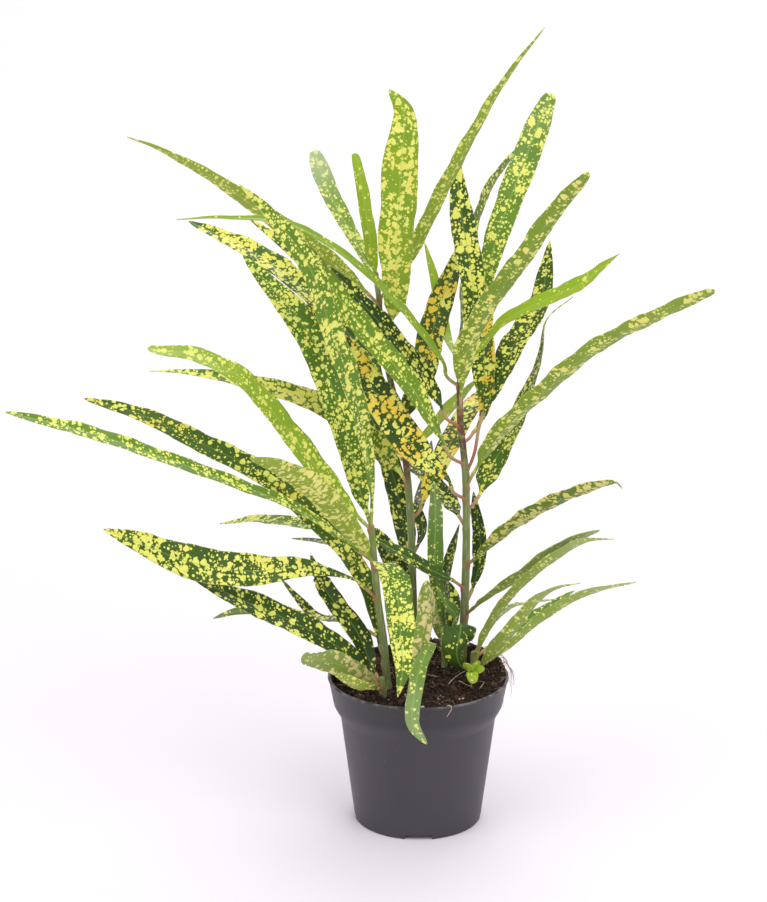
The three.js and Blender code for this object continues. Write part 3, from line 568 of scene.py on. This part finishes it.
def add_bake_map(mesh, stations, columns):
    """Lays both faces of the blade out as strips, side by side, so that a map fills its area.

    The last strip holds the margins and, at its end, the two ends of the leaf.
    """
    layer = mesh.uv_layers.new(name="OFBake")
    width = len(columns)
    per_strip = (stations - 1) / BAKE_STRIPS
    spots = np.zeros((len(mesh.loops), 2), np.float32)
    strips = 2 * BAKE_STRIPS + 1
    for polygon in mesh.polygons:
        vertices = list(polygon.vertices)
        rows = [v // (2 * width) for v in vertices]
        sides = [v % (2 * width) // width for v in vertices]
        strip = min(int(min(rows) / per_strip), BAKE_STRIPS - 1)
        rim = min(sides) != max(sides)
        for loop, vertex, row, side in zip(polygon.loop_indices, vertices, rows, sides):
            column = columns[vertex % width]
            v = BAKE_BORDER
            v += (1 - 2 * BAKE_BORDER) * (row - strip * per_strip) / (per_strip + 1)
            if len(vertices) > 4:
                u = (2 * BAKE_STRIPS + 0.8 + 0.1 * column) / strips
                v = 0.2 + 0.1 * side + (0.5 if row else 0)
            elif rim:
                lane = 0.1 + 0.1 * strip + (0.35 if column > 0 else 0)
                u = (2 * BAKE_STRIPS + lane + 0.06 * side) / strips
            else:
                u = (2 * strip + side + 0.5 + BAKE_HALF_WIDTH * column) / strips
            spots[loop] = (u, v)
    layer.uv.foreach_set("vector", spots.ravel())


# Node helpers
class Nodes:
    """Short calls for building a material's node tree."""

    def __init__(self, name):
        self.material = bpy.data.materials.new(name)
        self.material.use_nodes = True
        self.tree = self.material.node_tree
        self.shader = self.tree.nodes["Principled BSDF"]

    def add(self, kind, inputs, **settings):
        """Makes a node with a value or a link for each socket in inputs, and gives its outputs."""
        node = self.tree.nodes.new("ShaderNode" + kind)
        for key, value in settings.items():
            setattr(node, key, value)
        for socket, source in inputs.items():
            self.link(source, node.inputs[socket])
        return node.outputs

    def link(self, source, target):
        if isinstance(source, (int, float)):
            target.default_value = source
        elif isinstance(source, tuple):
            target.default_value = source if target.type == "VECTOR" else (*source, 1)
        else:
            self.tree.links.new(source, target)

    def attribute(self, name):
        return self.add("Attribute", {}, attribute_name=name)["Fac"]

    def place(self):
        return self.add("NewGeometry", {})["Position"]

    def math(self, operation, a, b=0.0, c=0.0, clamp=False):
        inputs = {0: a, 1: b, 2: c}
        return self.add("Math", inputs, operation=operation, use_clamp=clamp)[0]

    def times(self, a, b, plus=0.0):
        return self.math("MULTIPLY_ADD", a, b, plus)

    def rest(self, share):
        return self.math("SUBTRACT", 1, share)

    def vector(self, x, y, z):
        return self.add("CombineXYZ", {0: x, 1: y, 2: z})[0]

    def split(self, vector):
        return self.add("SeparateXYZ", {0: vector})

    def noise(self, vector, scale, detail=2.0, roughness=0.5, output="Fac"):
        inputs = {"Vector": vector, "Scale": scale, "Detail": detail, "Roughness": roughness}
        return self.add("TexNoise", inputs)[output]

    def warp(self, vector, scale, reach):
        """The vector moved about by noise, to make round shapes irregular."""
        random_share = self.noise(vector, scale, output="Color")
        inputs = {0: random_share, 1: (0.5, 0.5, 0.5)}
        centred = self.add("VectorMath", inputs, operation="SUBTRACT")[0]
        inputs = {0: centred, 1: (reach, reach, reach), 2: vector}
        return self.add("VectorMath", inputs, operation="MULTIPLY_ADD")[0]

    def cells(self, vector, scale):
        """Distance to the nearest of scattered points, and two random shares for that point."""
        cell = self.add("TexVoronoi", {"Vector": vector, "Scale": scale}, voronoi_dimensions="2D")
        shares = self.add("SeparateColor", {0: cell["Color"]})
        return cell["Distance"], shares[0], shares[1]

    def step(self, value, low, high):
        inputs = {"Value": value, "From Min": low, "From Max": high}
        return self.add("MapRange", inputs, interpolation_type="SMOOTHSTEP")["Result"]

    def mix(self, share, a, b):
        inputs = {"Factor": share, "A": a, "B": b}
        return self.add("Mix", inputs, data_type="RGBA")["Result"]

    def blend(self, share, a, b):
        return self.add("Mix", {0: share, 2: a, 3: b}, data_type="FLOAT")[0]

    def bump(self, height, strength, distance):
        inputs = {"Height": height, "Strength": strength, "Distance": distance}
        self.link(self.add("Bump", inputs)["Normal"], self.shader.inputs["Normal"])

    def layers(self, colour, *layers):
        """The colour with layers over it: where each lies, its strength and its colour."""
        for share, strength, tint in layers:
            colour = self.mix(self.times(share, strength), colour, tint)
        return colour

    def finish(self, colour, roughness, specular):
        self.link(colour, self.shader.inputs["Base Color"])
        self.link(roughness, self.shader.inputs["Roughness"])
        self.link(specular, self.shader.inputs["Specular IOR Level"])
        return self.material


# Materials
# Layers of spots, from blotches to specks: cells per mm, smallest and largest radius in cells,
# share of cells at least, and how far dots and blotches raise it
SPOT_LAYERS = (
    (0.165, 0.24, 0.44, 0.0, 0.02, 0.75),
    (0.26, 0.26, 0.48, 0.02, 0.20, 0.45),
    (0.42, 0.26, 0.48, 0.05, 0.50, 0.10),
    (0.72, 0.24, 0.42, 0.05, 0.26, 0.0),
)


def leaf_material():
    """Upper face dark to fresh green with yellow blotches and dots, underside paler."""
    n = Nodes("croton leaf")
    across, along, under, edge, stalk, bloom = map(n.attribute, POINT_MARKS)
    tone, dots, blotches, gold, beige, rib_share, seed, ruddy = map(n.attribute, LEAF_MARKS)
    from_rib = n.math("ABSOLUTE", across)

    # Spots are round on the upper face and a little drawn out sideways underneath
    x = n.times(across, n.blend(under, 1.0, 0.84))
    y = n.times(n.times(from_rib, under), -0.15, along)
    flat = n.vector(n.math("ADD", x, seed), n.times(seed, 1.7, y), seed)
    crowd = n.times(n.step(n.noise(flat, 0.06, 1), 0.3, 0.7), 1.3, 0.35)
    filled = 0.0
    for scale, small, large, least, by_dots, by_blotches in SPOT_LAYERS:
        moved = n.warp(flat, 2.0 * scale, 0.24 / scale)
        distance, chance, size = n.cells(moved, scale)
        share = n.times(blotches, by_blotches, n.times(dots, by_dots, least))
        chosen = n.math("LESS_THAN", chance, n.times(share, crowd))
        reach = n.times(size, large - small, small)
        outside = n.step(distance, n.times(reach, 0.6), n.times(reach, 1.35))
        filled = n.times(n.rest(outside), chosen, filled)
    spots = n.step(filled, 0.42, 0.78)
    halo = n.math("SUBTRACT", n.step(filled, 0.0, 0.5), spots)

    cloud = n.noise(flat, 0.05, 3)
    fresh = n.math("ADD", tone, n.times(cloud, 0.3, -0.15), clamp=True)
    middle_green = n.mix(n.step(fresh, 0.0, 0.4), (0.026, 0.06, 0.009), (0.095, 0.2, 0.018))
    upper_green = n.mix(n.step(fresh, 0.35, 1.0), middle_green, (0.28, 0.42, 0.018))
    under_green = n.mix(fresh, (0.12, 0.2, 0.035), (0.36, 0.48, 0.04))
    green = n.mix(under, upper_green, under_green)

    shade = n.noise(flat, 0.16, 2)
    yellow = n.mix(shade, (0.84, 0.80, 0.17), (0.62, 0.68, 0.12))
    golden = n.times(gold, n.step(n.noise(flat, 0.05, 1), 0.40, 0.55))
    yellow = n.mix(golden, yellow, (0.80, 0.50, 0.03))
    cream = n.mix(shade, (0.84, 0.76, 0.22), (0.62, 0.66, 0.16))
    spot_colour = n.mix(beige, n.mix(under, yellow, cream), (0.62, 0.50, 0.26))
    green = n.mix(n.times(halo, 0.5), green, (0.24, 0.34, 0.03))
    colour = n.mix(spots, green, spot_colour)

    # Side veins, midrib and pale margin
    slant = n.times(from_rib, -0.7, along)
    vein = n.step(n.math("SINE", n.times(slant, 1.35)), 0.86, 1.0)
    vein = n.times(vein, n.step(from_rib, 0.6, 1.6))
    vein_green = n.mix(under, (0.15, 0.25, 0.03), (0.36, 0.46, 0.10))
    rib = n.rest(n.step(from_rib, 0.3, 0.75))
    rib_colour = n.mix(fresh, (0.22, 0.34, 0.06), (0.42, 0.54, 0.11))
    rib_colour = n.mix(n.times(under, 0.5), rib_colour, (0.40, 0.27, 0.13))
    margin = n.step(edge, 0.94, 0.995)
    colour = n.layers(colour, (vein, 0.16, vein_green), (rib, rib_share, rib_colour),
                      (margin, 0.4, (0.50, 0.50, 0.18)))

    # Whitish bloom: a real pale dullness on some leaves, and in patches a painted sheen of
    # reflected light
    dull_and_sheen_share = n.math("MULTIPLY", bloom, n.times(cloud, 0.8, 0.5), clamp=True)
    colour = n.mix(dull_and_sheen_share, colour, (0.55, 0.60, 0.42))

    # Stalk: pinkish red at the stem, tan and then green towards the blade
    old_stalk = n.mix(n.step(stalk, 0.3, 0.7), (0.46, 0.32, 0.15), (0.42, 0.16, 0.10))
    young_stalk = n.mix(n.step(stalk, 0.5, 0.9), (0.34, 0.42, 0.10), (0.42, 0.33, 0.14))
    youth = n.math("SUBTRACT", n.math("ADD", n.step(tone, 0.45, 0.8), 1), ruddy, clamp=True)
    colour = n.mix(n.step(stalk, 0.02, 0.2), colour, n.mix(youth, old_stalk, young_stalk))

    rough = n.times(under, 0.15, n.times(n.noise(flat, 0.3, 3), 0.16, 0.30))
    n.bump(n.times(vein, -0.7, n.times(n.noise(flat, 0.35, 3), 0.6)), 0.5, 0.0004)
    return n.finish(colour, rough, 0.22)


def stem_material():
    """Green bark with pale upright lines, brown in a band of age and reddish at the leaf bases."""
    n = Nodes("croton stem")
    place = n.place()
    joint, brown, height = map(n.attribute, STEM_MARKS)
    x, y, z = n.split(place)
    lines = n.noise(n.vector(x, y, n.times(z, 0.06)), 1300, 3, 0.6)
    patches, flecks = n.noise(place, 70, 3), n.step(n.noise(place, 240, 3, 0.6), 0.36, 0.52)
    colour = n.layers(n.mix(height, (0.155, 0.20, 0.07), (0.20, 0.27, 0.06)),
                      (patches, 0.3, (0.10, 0.11, 0.045)),
                      (n.step(lines, 0.53, 0.66), 0.65, (0.37, 0.41, 0.25)),
                      (brown, flecks, (0.125, 0.056, 0.032)),
                      (joint, 0.8, (0.34, 0.12, 0.085)))
    n.bump(lines, 0.5, 0.0004)
    return n.finish(colour, 0.5, 0.3)


def pot_material():
    """Dark grey plastic, darker collar, scuffs, dust, rim pale from wear and painted highlight."""
    n = Nodes("nursery pot plastic")
    place = n.place()
    x, y, z = n.split(place)
    cloud = n.noise(place, 18, 3)
    dust = n.step(n.noise(place, 420, 4, 0.7), 0.67, 0.75)
    upright = n.vector(x, y, n.times(z, 0.25))
    scuffs = n.step(n.noise(upright, 260, 4, 0.65), 0.66, 0.76)
    collar, rim = n.step(z, 0.081, 0.086), n.step(z, 0.0985, 0.0999)
    # Patchy pale lip: partly wear, partly a painted highlight where light catches the rim
    rim_wear_and_highlight = n.times(rim, n.step(n.noise(place, 130, 3), 0.4, 0.62))
    pale = (0.22, 0.21, 0.22)
    colour = n.layers(n.mix(cloud, (0.038, 0.035, 0.040), (0.056, 0.052, 0.059)),
                      (collar, 0.45, (0.018, 0.017, 0.020)), (scuffs, 0.18, pale),
                      (dust, 0.35, (0.34, 0.31, 0.29)), (rim_wear_and_highlight, 0.6, pale))
    n.bump(n.noise(place, 300, 3), 0.25, 0.0003)
    return n.finish(colour, n.times(cloud, 0.22, 0.36), 0.4)


def soil_material():
    n = Nodes("peat")
    place = n.place()
    grains = n.noise(place, 520, 5, 0.65)
    colour = n.mix(n.step(grains, 0.35, 0.7), (0.011, 0.006, 0.0045), (0.062, 0.033, 0.024))
    colour = n.mix(n.times(n.noise(place, 90, 3), 0.5), colour, (0.035, 0.018, 0.011))
    n.bump(grains, 0.9, 0.0012)
    return n.finish(colour, 0.95, 0.2)


def grain_material(name, dark, light):
    n = Nodes(name)
    fleck = n.noise(n.place(), 700, 4, 0.6)
    n.bump(fleck, 0.7, 0.0005)
    return n.finish(n.mix(n.step(fleck, 0.35, 0.65), dark, light), 0.9, 0.25)


def floor_material():
    """A pale floor, clear from behind, so that its backdrop hides the plant from no side."""
    n = Nodes("pale floor")
    geometry = n.add("NewGeometry", {})
    n.link(n.rest(geometry["Backfacing"]), n.shader.inputs["Alpha"])
    cloud = n.noise(geometry["Position"], 3, 2)
    return n.finish(n.mix(cloud, (0.785, 0.745, 0.80), (0.81, 0.77, 0.825)), 0.8, 0.2)


# Stems
def stem_swellings(stem, rng):
    """Height, direction and size of each leaf base, and of scars below the lowest leaf."""
    swellings = []
    for spec in stem["leaves"]:
        base, ahead = axis_at_height(stem, spec["start"]), spec["through"][0]
        bearing = math.atan2(ahead[1] - base[1], ahead[0] - base[0])
        swellings.append((spec["start"], bearing, 1.0))
    lowest = min(spec["start"] for spec in stem["leaves"])
    scar_height = stem["axis"][0][2] + SCAR_ABOVE_FOOT
    while scar_height < lowest - SCAR_BELOW_LEAF:
        swellings.append((scar_height, rng.uniform(*ANY_ANGLE), SCAR_SIZE))
        scar_height += rng.uniform(*SCAR_SPACING)
    return swellings


def make_stem(name, stem, rng):
    """A slightly bumpy stem with swollen leaf bases and a few irregular scars of fallen leaves."""
    at, _, length = spline(stem["axis"])
    rings = max(10, int(length / STEM_RING_SPACING))
    swellings = stem_swellings(stem, rng)
    brown_low, brown_high = stem.get("brown", (0, 0))
    foot_radius, top_radius = stem["radii"]
    tall = max(stem["axis"][-1][2] - STEM_FOOT, 1)
    places = [np.array([*stem["axis"][0][:2], STEM_ROOT], float)]
    places += [at(k / rings) for k in range(rings + 1)]
    points, marks = [], []
    for index, place in enumerate(places):
        level = place[2]
        radius = foot_radius + (top_radius - foot_radius) * (max(0, index - 1) / rings)
        aged = smooth_step(brown_low - BROWN_BLEND, brown_low + BROWN_BLEND, level)
        aged *= 1 - smooth_step(brown_high - BROWN_BLEND, brown_high + BROWN_BLEND, level)
        height = min(max((level - STEM_FOOT) / tall, 0), 1)
        for angle in circle(STEM_SIDES):
            knob = 0
            for swelling, bearing, size in swellings:
                facing = max(math.cos(angle - bearing), 0) ** 1.5
                knob = max(knob, size * facing
                           * math.exp(-((level - swelling) / KNOB_HALF_HEIGHT) ** 2))
            near_x, near_y = polar(3, angle)
            bumps = noise.noise(Vector((place[0] + near_x, near_y, level * 0.16)))
            bumpy = 1 + BUMP_GROWTH * bumps
            ridge = 1 + RIDGE_GROWTH * math.cos(RIDGES * angle + level * 0.02)
            reach = radius * (1 + KNOB_GROWTH * knob) * bumpy * ridge
            if index == len(places) - 1:
                reach *= STEM_TOP_SHARE
            points.append((place + np.array([*polar(1, angle), 0]) * reach) * MM)
            marks.append((knob, aged, height))
    made = new_object(name, points, tube_faces(0, len(places), STEM_SIDES))
    for key, values in zip(STEM_MARKS, zip(*marks)):
        point_attribute(made.data, key, values)
    shade_smooth(made, 60)
    return made


# Pot: points of its profile as radius and height, then what stands in its base
FOOT_RADIUS, FOOT_EDGE = 41.2, (41.4, 1.0)
COLLAR_OUTSIDE = [(51.5, 72.4), (51.9, 73.4), (55.2, 79.4), (55.9, 80.8), (56.3, 82.2)]
POT_WALL = 1.4
COLLAR_AND_WALL_INSIDE = [(54.8, 81.4), (50.2, 73.4), (41.3, 2.2), (40.5, POT_WALL)]
RIM_DEPTH, RIM_INSET, RIM_ROUNDING, INNER_ROUNDING = 2.4, 0.8, 0.85, 0.6
POT_SEGMENTS = 160
CHANNELS = 4
CHANNEL_START, CHANNEL_HALF_WIDTH, CHANNEL_HEIGHT = 26, 9.0, 3.2
PAD_START, PAD_BOTTOM = 24.6, 0.3
HOLE_PLACE, HOLE_RADIUS = 33, 3.5


def level_ring(radius, z, segments):
    places = [polar(radius, angle) for angle in circle(segments)]
    return [(x * MM, y * MM, z * MM) for x, y in places]


def lathe(name, profile, segments):
    points = [point for radius, z in profile for point in level_ring(radius, z, segments)]
    return new_object(name, points, tube_faces(0, len(profile), segments))


def arc(centre, radius, start, end, steps):
    """Points of a profile along an arc from start to end, in degrees."""
    places = [polar(radius, math.radians(start + (end - start) * k / steps))
              for k in range(steps + 1)]
    return [(centre[0] + x, centre[1] + y) for x, y in places]


def box_object(name, low, high, turn):
    size = [(b - a) * MM for a, b in zip(low, high)]
    middle = [(a + b) / 2 * MM for a, b in zip(low, high)]
    shape = bmesh.new()
    bmesh.ops.create_cube(shape, size=1)
    bmesh.ops.scale(shape, vec=size, verts=shape.verts)
    bmesh.ops.translate(shape, vec=middle, verts=shape.verts)
    bmesh.ops.rotate(shape, matrix=Matrix.Rotation(turn, 3, "Z"), verts=shape.verts)
    made = new_object(name, [], [])
    shape.to_mesh(made.data)
    shape.free()
    return made


def boolean(target, tool, operation):
    modifier = target.modifiers.new("cut", "BOOLEAN")
    modifier.operation = operation
    modifier.solver = "EXACT"
    modifier.object = tool
    bpy.context.view_layer.update()
    evaluated = target.evaluated_get(bpy.context.evaluated_depsgraph_get())
    mesh = bpy.data.meshes.new_from_object(evaluated)
    target.modifiers.clear()
    target.data = mesh
    bpy.data.objects.remove(tool)


def make_pot():
    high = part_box("pot")[1]
    height, rim = high.z / MM, high.x / MM
    inner_rim = rim - POT_WALL
    outer = [(FOOT_RADIUS, 0)] + arc(FOOT_EDGE, 1.0, -90, 0, 4) + COLLAR_OUTSIDE
    outer.append((rim - RIM_INSET, height - RIM_DEPTH))
    outer += arc((rim - RIM_ROUNDING, height - RIM_ROUNDING), RIM_ROUNDING, -35, 90, 8)
    inner = arc((inner_rim - 0.1, height - INNER_ROUNDING), INNER_ROUNDING, 90, 180, 4)
    inner += [(inner_rim - RIM_INSET, height - RIM_DEPTH)] + COLLAR_AND_WALL_INSIDE
    pot = lathe("nursery_pot", outer + inner, POT_SEGMENTS)
    half, top = CHANNEL_HALF_WIDTH, CHANNEL_HEIGHT
    for index in range(CHANNELS):
        turn = math.pi / 2 + index * math.pi / 2
        pad = box_object("pad", (PAD_START, -half - POT_WALL, PAD_BOTTOM),
                         (FOOT_RADIUS, half + POT_WALL, top + POT_WALL), turn)
        boolean(pot, pad, "UNION")
        channel = box_object("channel", (CHANNEL_START, -half, -1), (50, half, top), turn)
        boolean(pot, channel, "DIFFERENCE")
        hole = lathe("hole", [(HOLE_RADIUS, -2), (HOLE_RADIUS, 8)], 32)
        hole.data.transform(Matrix.Translation((HOLE_PLACE * MM, 0, 0)))
        hole.data.transform(Matrix.Rotation(turn, 4, "Z"))
        boolean(pot, hole, "DIFFERENCE")
    shade_smooth(pot, 32)
    return pot


# Soil
SOIL_LEVEL = 96
SLOPE_TO_RIGHT, SLOPE_TO_BACK = 0.045, 0.03
HEAP_HEIGHT, HEAP_BEARING = 6, 0.7
HEAP_FROM, HEAP_TO = 42, 53
SOIL_SEGMENTS, SOIL_RINGS, SOIL_RADIUS = 220, 78, 57.6
# Coarse and fine roughness: waves a mm, layer of the noise and height
SOIL_ROUGHNESS = ((0.12, 3, 1.3), (0.55, 7, 0.9))
# Radius and height of the soil's side
SOIL_SIDE = ((55.9, 88), (49.4, 73), (40.4, 5.4))
STEM_FEET = [(*stem["axis"][0][:2], stem["radii"][0]) for stem in STEMS.values()]
GRAIN_LIMIT, EDGE_OF_SOIL, STEM_CLEARANCE = 56.5, 54, 0.8
GRAIN_LENGTHS, GRAIN_WIDTHS, GRAIN_ROUGHNESS = (0.7, 1.5), (0.7, 1.2), 0.35
MOSTLY_SMALL = 2.2
LIFT_INSIDE, LIFT_AT_EDGE = 0.15, 0.3


def soil_height(x, y):
    """Height of the soil's smooth surface: low at the front left, heaped at the back right."""
    slope = SLOPE_TO_RIGHT * x + SLOPE_TO_BACK * y
    facing = max(0, math.cos(math.atan2(y, x) - HEAP_BEARING))
    heap = HEAP_HEIGHT * smooth_step(HEAP_FROM, HEAP_TO, math.hypot(x, y)) * facing
    lumps = 0.7 * math.sin(0.31 * x + 1) * math.cos(0.27 * y) + 0.5 * math.sin(0.53 * (x + y))
    return SOIL_LEVEL + slope + heap + lumps


def rough_soil_height(x, y):
    height = soil_height(x, y)
    for scale, layer, reach in SOIL_ROUGHNESS:
        height += reach * noise.fractal(Vector((x * scale, y * scale, layer)), 1.0, 2.0, 3)
    return height


def make_soil():
    points = [(0, 0, rough_soil_height(0, 0) * MM)]
    for ring in range(1, SOIL_RINGS + 1):
        for angle in circle(SOIL_SEGMENTS):
            x, y = polar(SOIL_RADIUS * ring / SOIL_RINGS, angle)
            points.append((x * MM, y * MM, rough_soil_height(x, y) * MM))
    for radius, z in SOIL_SIDE:
        points += level_ring(radius, z, SOIL_SEGMENTS)
    pairs = neighbours(SOIL_SEGMENTS)
    faces = [(0, 1 + k, 1 + following) for k, following in pairs]
    for ring in range(SOIL_RINGS + len(SOIL_SIDE) - 1):
        a, b = 1 + ring * SOIL_SEGMENTS, 1 + (ring + 1) * SOIL_SEGMENTS
        faces += [(a + k, b + k, b + following, a + following) for k, following in pairs]
    faces.append(tuple(reversed(range(len(points) - SOIL_SEGMENTS, len(points)))))
    made = new_object("soil_surface", points, faces)
    made.data.shade_smooth()
    return made


def random_soil_place(rng, limit=GRAIN_LIMIT):
    """A place on the soil that is clear of the stems."""
    while True:
        x, y = polar(limit * math.sqrt(rng.random()), rng.uniform(0, FULL_TURN))
        if all(math.hypot(x - fx, y - fy) > r + STEM_CLEARANCE for fx, fy, r in STEM_FEET):
            return x, y


def front_left_place(rng):
    angle = math.radians(rng.uniform(222, 276))
    return polar(rng.uniform(44, 56), angle)


def make_grains(name, count, sizes, seed, flatness=0.7, pick=random_soil_place):
    """Many small irregular lumps in one mesh, lying on the soil."""
    rng = random.Random(seed)
    template = bmesh.new()
    bmesh.ops.create_icosphere(template, subdivisions=1, radius=1)
    base = np.array([v.co[:] for v in template.verts])
    triangles = [tuple(v.index for v in f.verts) for f in template.faces]
    template.free()
    points, faces = [], []
    for _ in range(count):
        x, y = pick(rng)
        size = sizes[0] + (sizes[1] - sizes[0]) * rng.random() ** MOSTLY_SMALL
        stretch = np.array([rng.uniform(*GRAIN_LENGTHS), rng.uniform(*GRAIN_WIDTHS), flatness])
        lump = base * stretch * size
        lump = lump * (1 + GRAIN_ROUGHNESS * np.array([[rng.uniform(-1, 1)] for _ in base]))
        angle = rng.uniform(*ANY_ANGLE)
        axis = (rng.uniform(-1, 1), rng.uniform(-1, 1), 1)
        lump = lump @ np.array(Matrix.Rotation(angle, 3, axis)).T
        lift = (LIFT_INSIDE if math.hypot(x, y) < EDGE_OF_SOIL else LIFT_AT_EDGE) * size
        lump += (x, y, rough_soil_height(x, y) + lift)
        faces += [tuple(len(points) + k for k in triangle) for triangle in triangles]
        points += [tuple(p * MM) for p in lump]
    return new_object(name, points, faces)


# Roots seen in the photo, as places with a lift above the soil, and one that curls over the rim
SEEN_ROOTS = (
    [(18.8, -12, 1.0), (22.3, -6.7, 1.6), (27.8, 2.4, 1.8), (32.7, 9.7, 1.0)],
    [(26.9, -4.9, 0.8), (28.5, -11, 1.8), (31.5, -17, 1.6), (36.4, -17.4, 0.8)],
    [(-2, 14, 0.8), (3, 8, 2.0), (9, 4, 1.6), (14, 3, 0.8)],
    [(40, -22, 0.6), (43, -16, 1.8), (42, -9, 1.8), (38, -5, 0.8)],
)
RIM_CURL = [(17.5, -52.5, 98.6), (18.2, -56.0, 100.6), (19.9, -58.2, 101.4), (20.6, -60.3, 100.2),
            (19.2, -61.0, 97.6), (17.4, -61.6, 95.0)]
ROOT_SIDES, ROOT_TAPER = 5, 0.6
ROOT_RADIUS, SEEN_ROOT_RADIUS = 0.13, 0.3
ROOT_SEED, LYING_ROOTS, HANGING_ROOTS = 14, 60, 34
LYING_STEPS, LYING_STEP, LYING_FROM, LYING_TO = 8, 1.3, 52, 56
HANGING_BEARING, HANGING_SPREAD = 14, 17
RIM_TOP, INSIDE_RIM = 100.5, 59


def smoothed(path):
    at = spline(path)[0]
    steps = 4 * len(path)
    return [tuple(at(k / steps)) for k in range(steps + 1)]


def tube_mesh(name, paths, radius):
    """Thin tapering tubes along lists of points, all in one mesh."""
    points, faces = [], []
    for path in map(smoothed, paths):
        faces += tube_faces(len(points), len(path), ROOT_SIDES)
        for index, place in enumerate(path):
            before, after = path[max(index - 1, 0)], path[min(index + 1, len(path) - 1)]
            along = (Vector(after) - Vector(before)).normalized()
            side = along.orthogonal().normalized()
            up = along.cross(side)
            thick = radius * (1 - ROOT_TAPER * index / len(path))
            for angle in circle(ROOT_SIDES):
                spot = Vector(place) + (side * math.cos(angle) + up * math.sin(angle)) * thick
                points.append(tuple(spot * MM))
    made = new_object(name, points, faces)
    made.data.shade_smooth()
    return made


def lying_root(rng):
    x, y = random_soil_place(rng, LYING_FROM)
    angle = rng.uniform(0, FULL_TURN)
    path = []
    for step in range(LYING_STEPS + 1):
        lift = 0.8 + 1.4 * math.sin(math.pi * step / LYING_STEPS) * rng.random()
        path.append((x, y, rough_soil_height(x, y) + lift))
        angle += rng.uniform(-0.5, 0.5)
        step_x, step_y = polar(LYING_STEP, angle)
        x, y = x + step_x, y + step_y
        if math.hypot(x, y) > LYING_TO:
            break
    return path


def hanging_root(rng):
    bearing = math.radians(rng.gauss(HANGING_BEARING, HANGING_SPREAD))
    drop, far = rng.uniform(2, 13), rng.uniform(0.6, 3.0)
    lean = rng.uniform(-0.06, 0.06)
    path = []
    for radius, level in ((55.0, 0.6), (58.0, 2.0), (60.6, 1.2), (61.2 + 0.4 * far, -0.2 * drop),
                          (61.4 + 0.8 * far, -0.6 * drop), (61.2 + far, -drop)):
        bearing += lean
        x, y = polar(radius, bearing)
        inside = radius < INSIDE_RIM
        ground = rough_soil_height(x, y) if inside else max(RIM_TOP, soil_height(x, y) - 1)
        path.append((x, y, ground + level))
    return path


def make_roots():
    """Fine pale roots and hairs on the soil, with some that hang over the rim at the right."""
    rng = random.Random(ROOT_SEED)
    paths = [lying_root(rng) for _ in range(LYING_ROOTS)]
    paths = [path for path in paths if len(path) > 3]
    paths += [hanging_root(rng) for _ in range(HANGING_ROOTS)]
    return tube_mesh("fine_roots", paths, ROOT_RADIUS)


def make_seen_roots():
    paths = [[(x, y, rough_soil_height(x, y) + lift) for x, y, lift in path]
             for path in SEEN_ROOTS]
    return tube_mesh("pale_roots", paths + [RIM_CURL], SEEN_ROOT_RADIUS)


# Floor and pieces
FLOOR_HALF_WIDTH, FLOOR_FRONT, BEND_START, BEND_RADIUS, BACKDROP_TOP = 4.0, -4.0, 0.7, 0.9, 3.2


def make_floor():
    """A pale floor that curves up into a backdrop behind the plant."""
    profile = [(FLOOR_FRONT, 0.0), (BEND_START, 0.0)]
    for degrees in range(6, 91, 6):
        level, run = polar(BEND_RADIUS, math.radians(degrees))
        profile.append((BEND_START + run, BEND_RADIUS - level))
    profile.append((BEND_START + BEND_RADIUS, BACKDROP_TOP))
    points = [(x, y, z) for y, z in profile for x in (-FLOOR_HALF_WIDTH, FLOOR_HALF_WIDTH)]
    faces = [(2 * k, 2 * k + 1, 2 * k + 3, 2 * k + 2) for k in range(len(profile) - 1)]
    floor = new_object("floor", points, faces)
    floor.data.shade_smooth()
    floor.data.materials.append(floor_material())


def place_piece(piece, material, node):
    piece.data.materials.append(material)
    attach(piece, "root")
    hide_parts(node)


def make_plant():
    green, bark = leaf_material(), stem_material()
    for number, (node, stem) in enumerate(STEMS.items()):
        young = node == "seedling"
        stalk_radius = SEEDLING_STALK_RADIUS if young else STALK_RADIUS
        name = node.replace("leafy_", "")
        place_piece(make_stem(name + "_axis", stem, random.Random(number)), bark, node)
        for index, spec in enumerate(stem["leaves"]):
            seed = 100 * number + index
            blade = make_leaf(f"{name}_leaf_{index + 1:02d}", stem, spec, seed, stalk_radius)
            place_piece(blade, green, node)


# Grains on the soil: name, count, smallest and largest size, seed, other settings, then the
# material's name, dark colour and light colour
LITTER = (
    ("soil_crumbs", 3000, (0.35, 2.0), 11, {},
     "peat crumbs", (0.008, 0.005, 0.003), (0.06, 0.036, 0.025)),
    ("pale_grains", 240, (0.3, 1.0), 12, {},
     "pale grains", (0.25, 0.18, 0.11), (0.62, 0.52, 0.38)),
    ("perlite", 60, (0.4, 1.3), 13, {"pick": front_left_place},
     "perlite grains", (0.45, 0.36, 0.24), (0.80, 0.72, 0.58)),
    ("bark_chips", 420, (0.5, 2.6), 15, {"flatness": 0.35},
     "bark chips", (0.035, 0.014, 0.009), (0.13, 0.06, 0.04)),
)


def make_ground():
    place_piece(make_pot(), pot_material(), "pot")
    place_piece(make_soil(), soil_material(), "soil")
    for name, count, sizes, seed, settings, *colouring in LITTER:
        grains = make_grains(name, count, sizes, seed, **settings)
        place_piece(grains, grain_material(*colouring), "soil")
    fine = grain_material("fine roots", (0.24, 0.15, 0.09), (0.50, 0.38, 0.26))
    place_piece(make_roots(), fine, "soil")
    pale = grain_material("pale roots", (0.45, 0.36, 0.26), (0.75, 0.66, 0.54))
    place_piece(make_seen_roots(), pale, "soil")


bpy.context.scene.view_settings.view_transform = "Standard"
add_camera()
add_light()
make_floor()
make_ground()
make_plant()
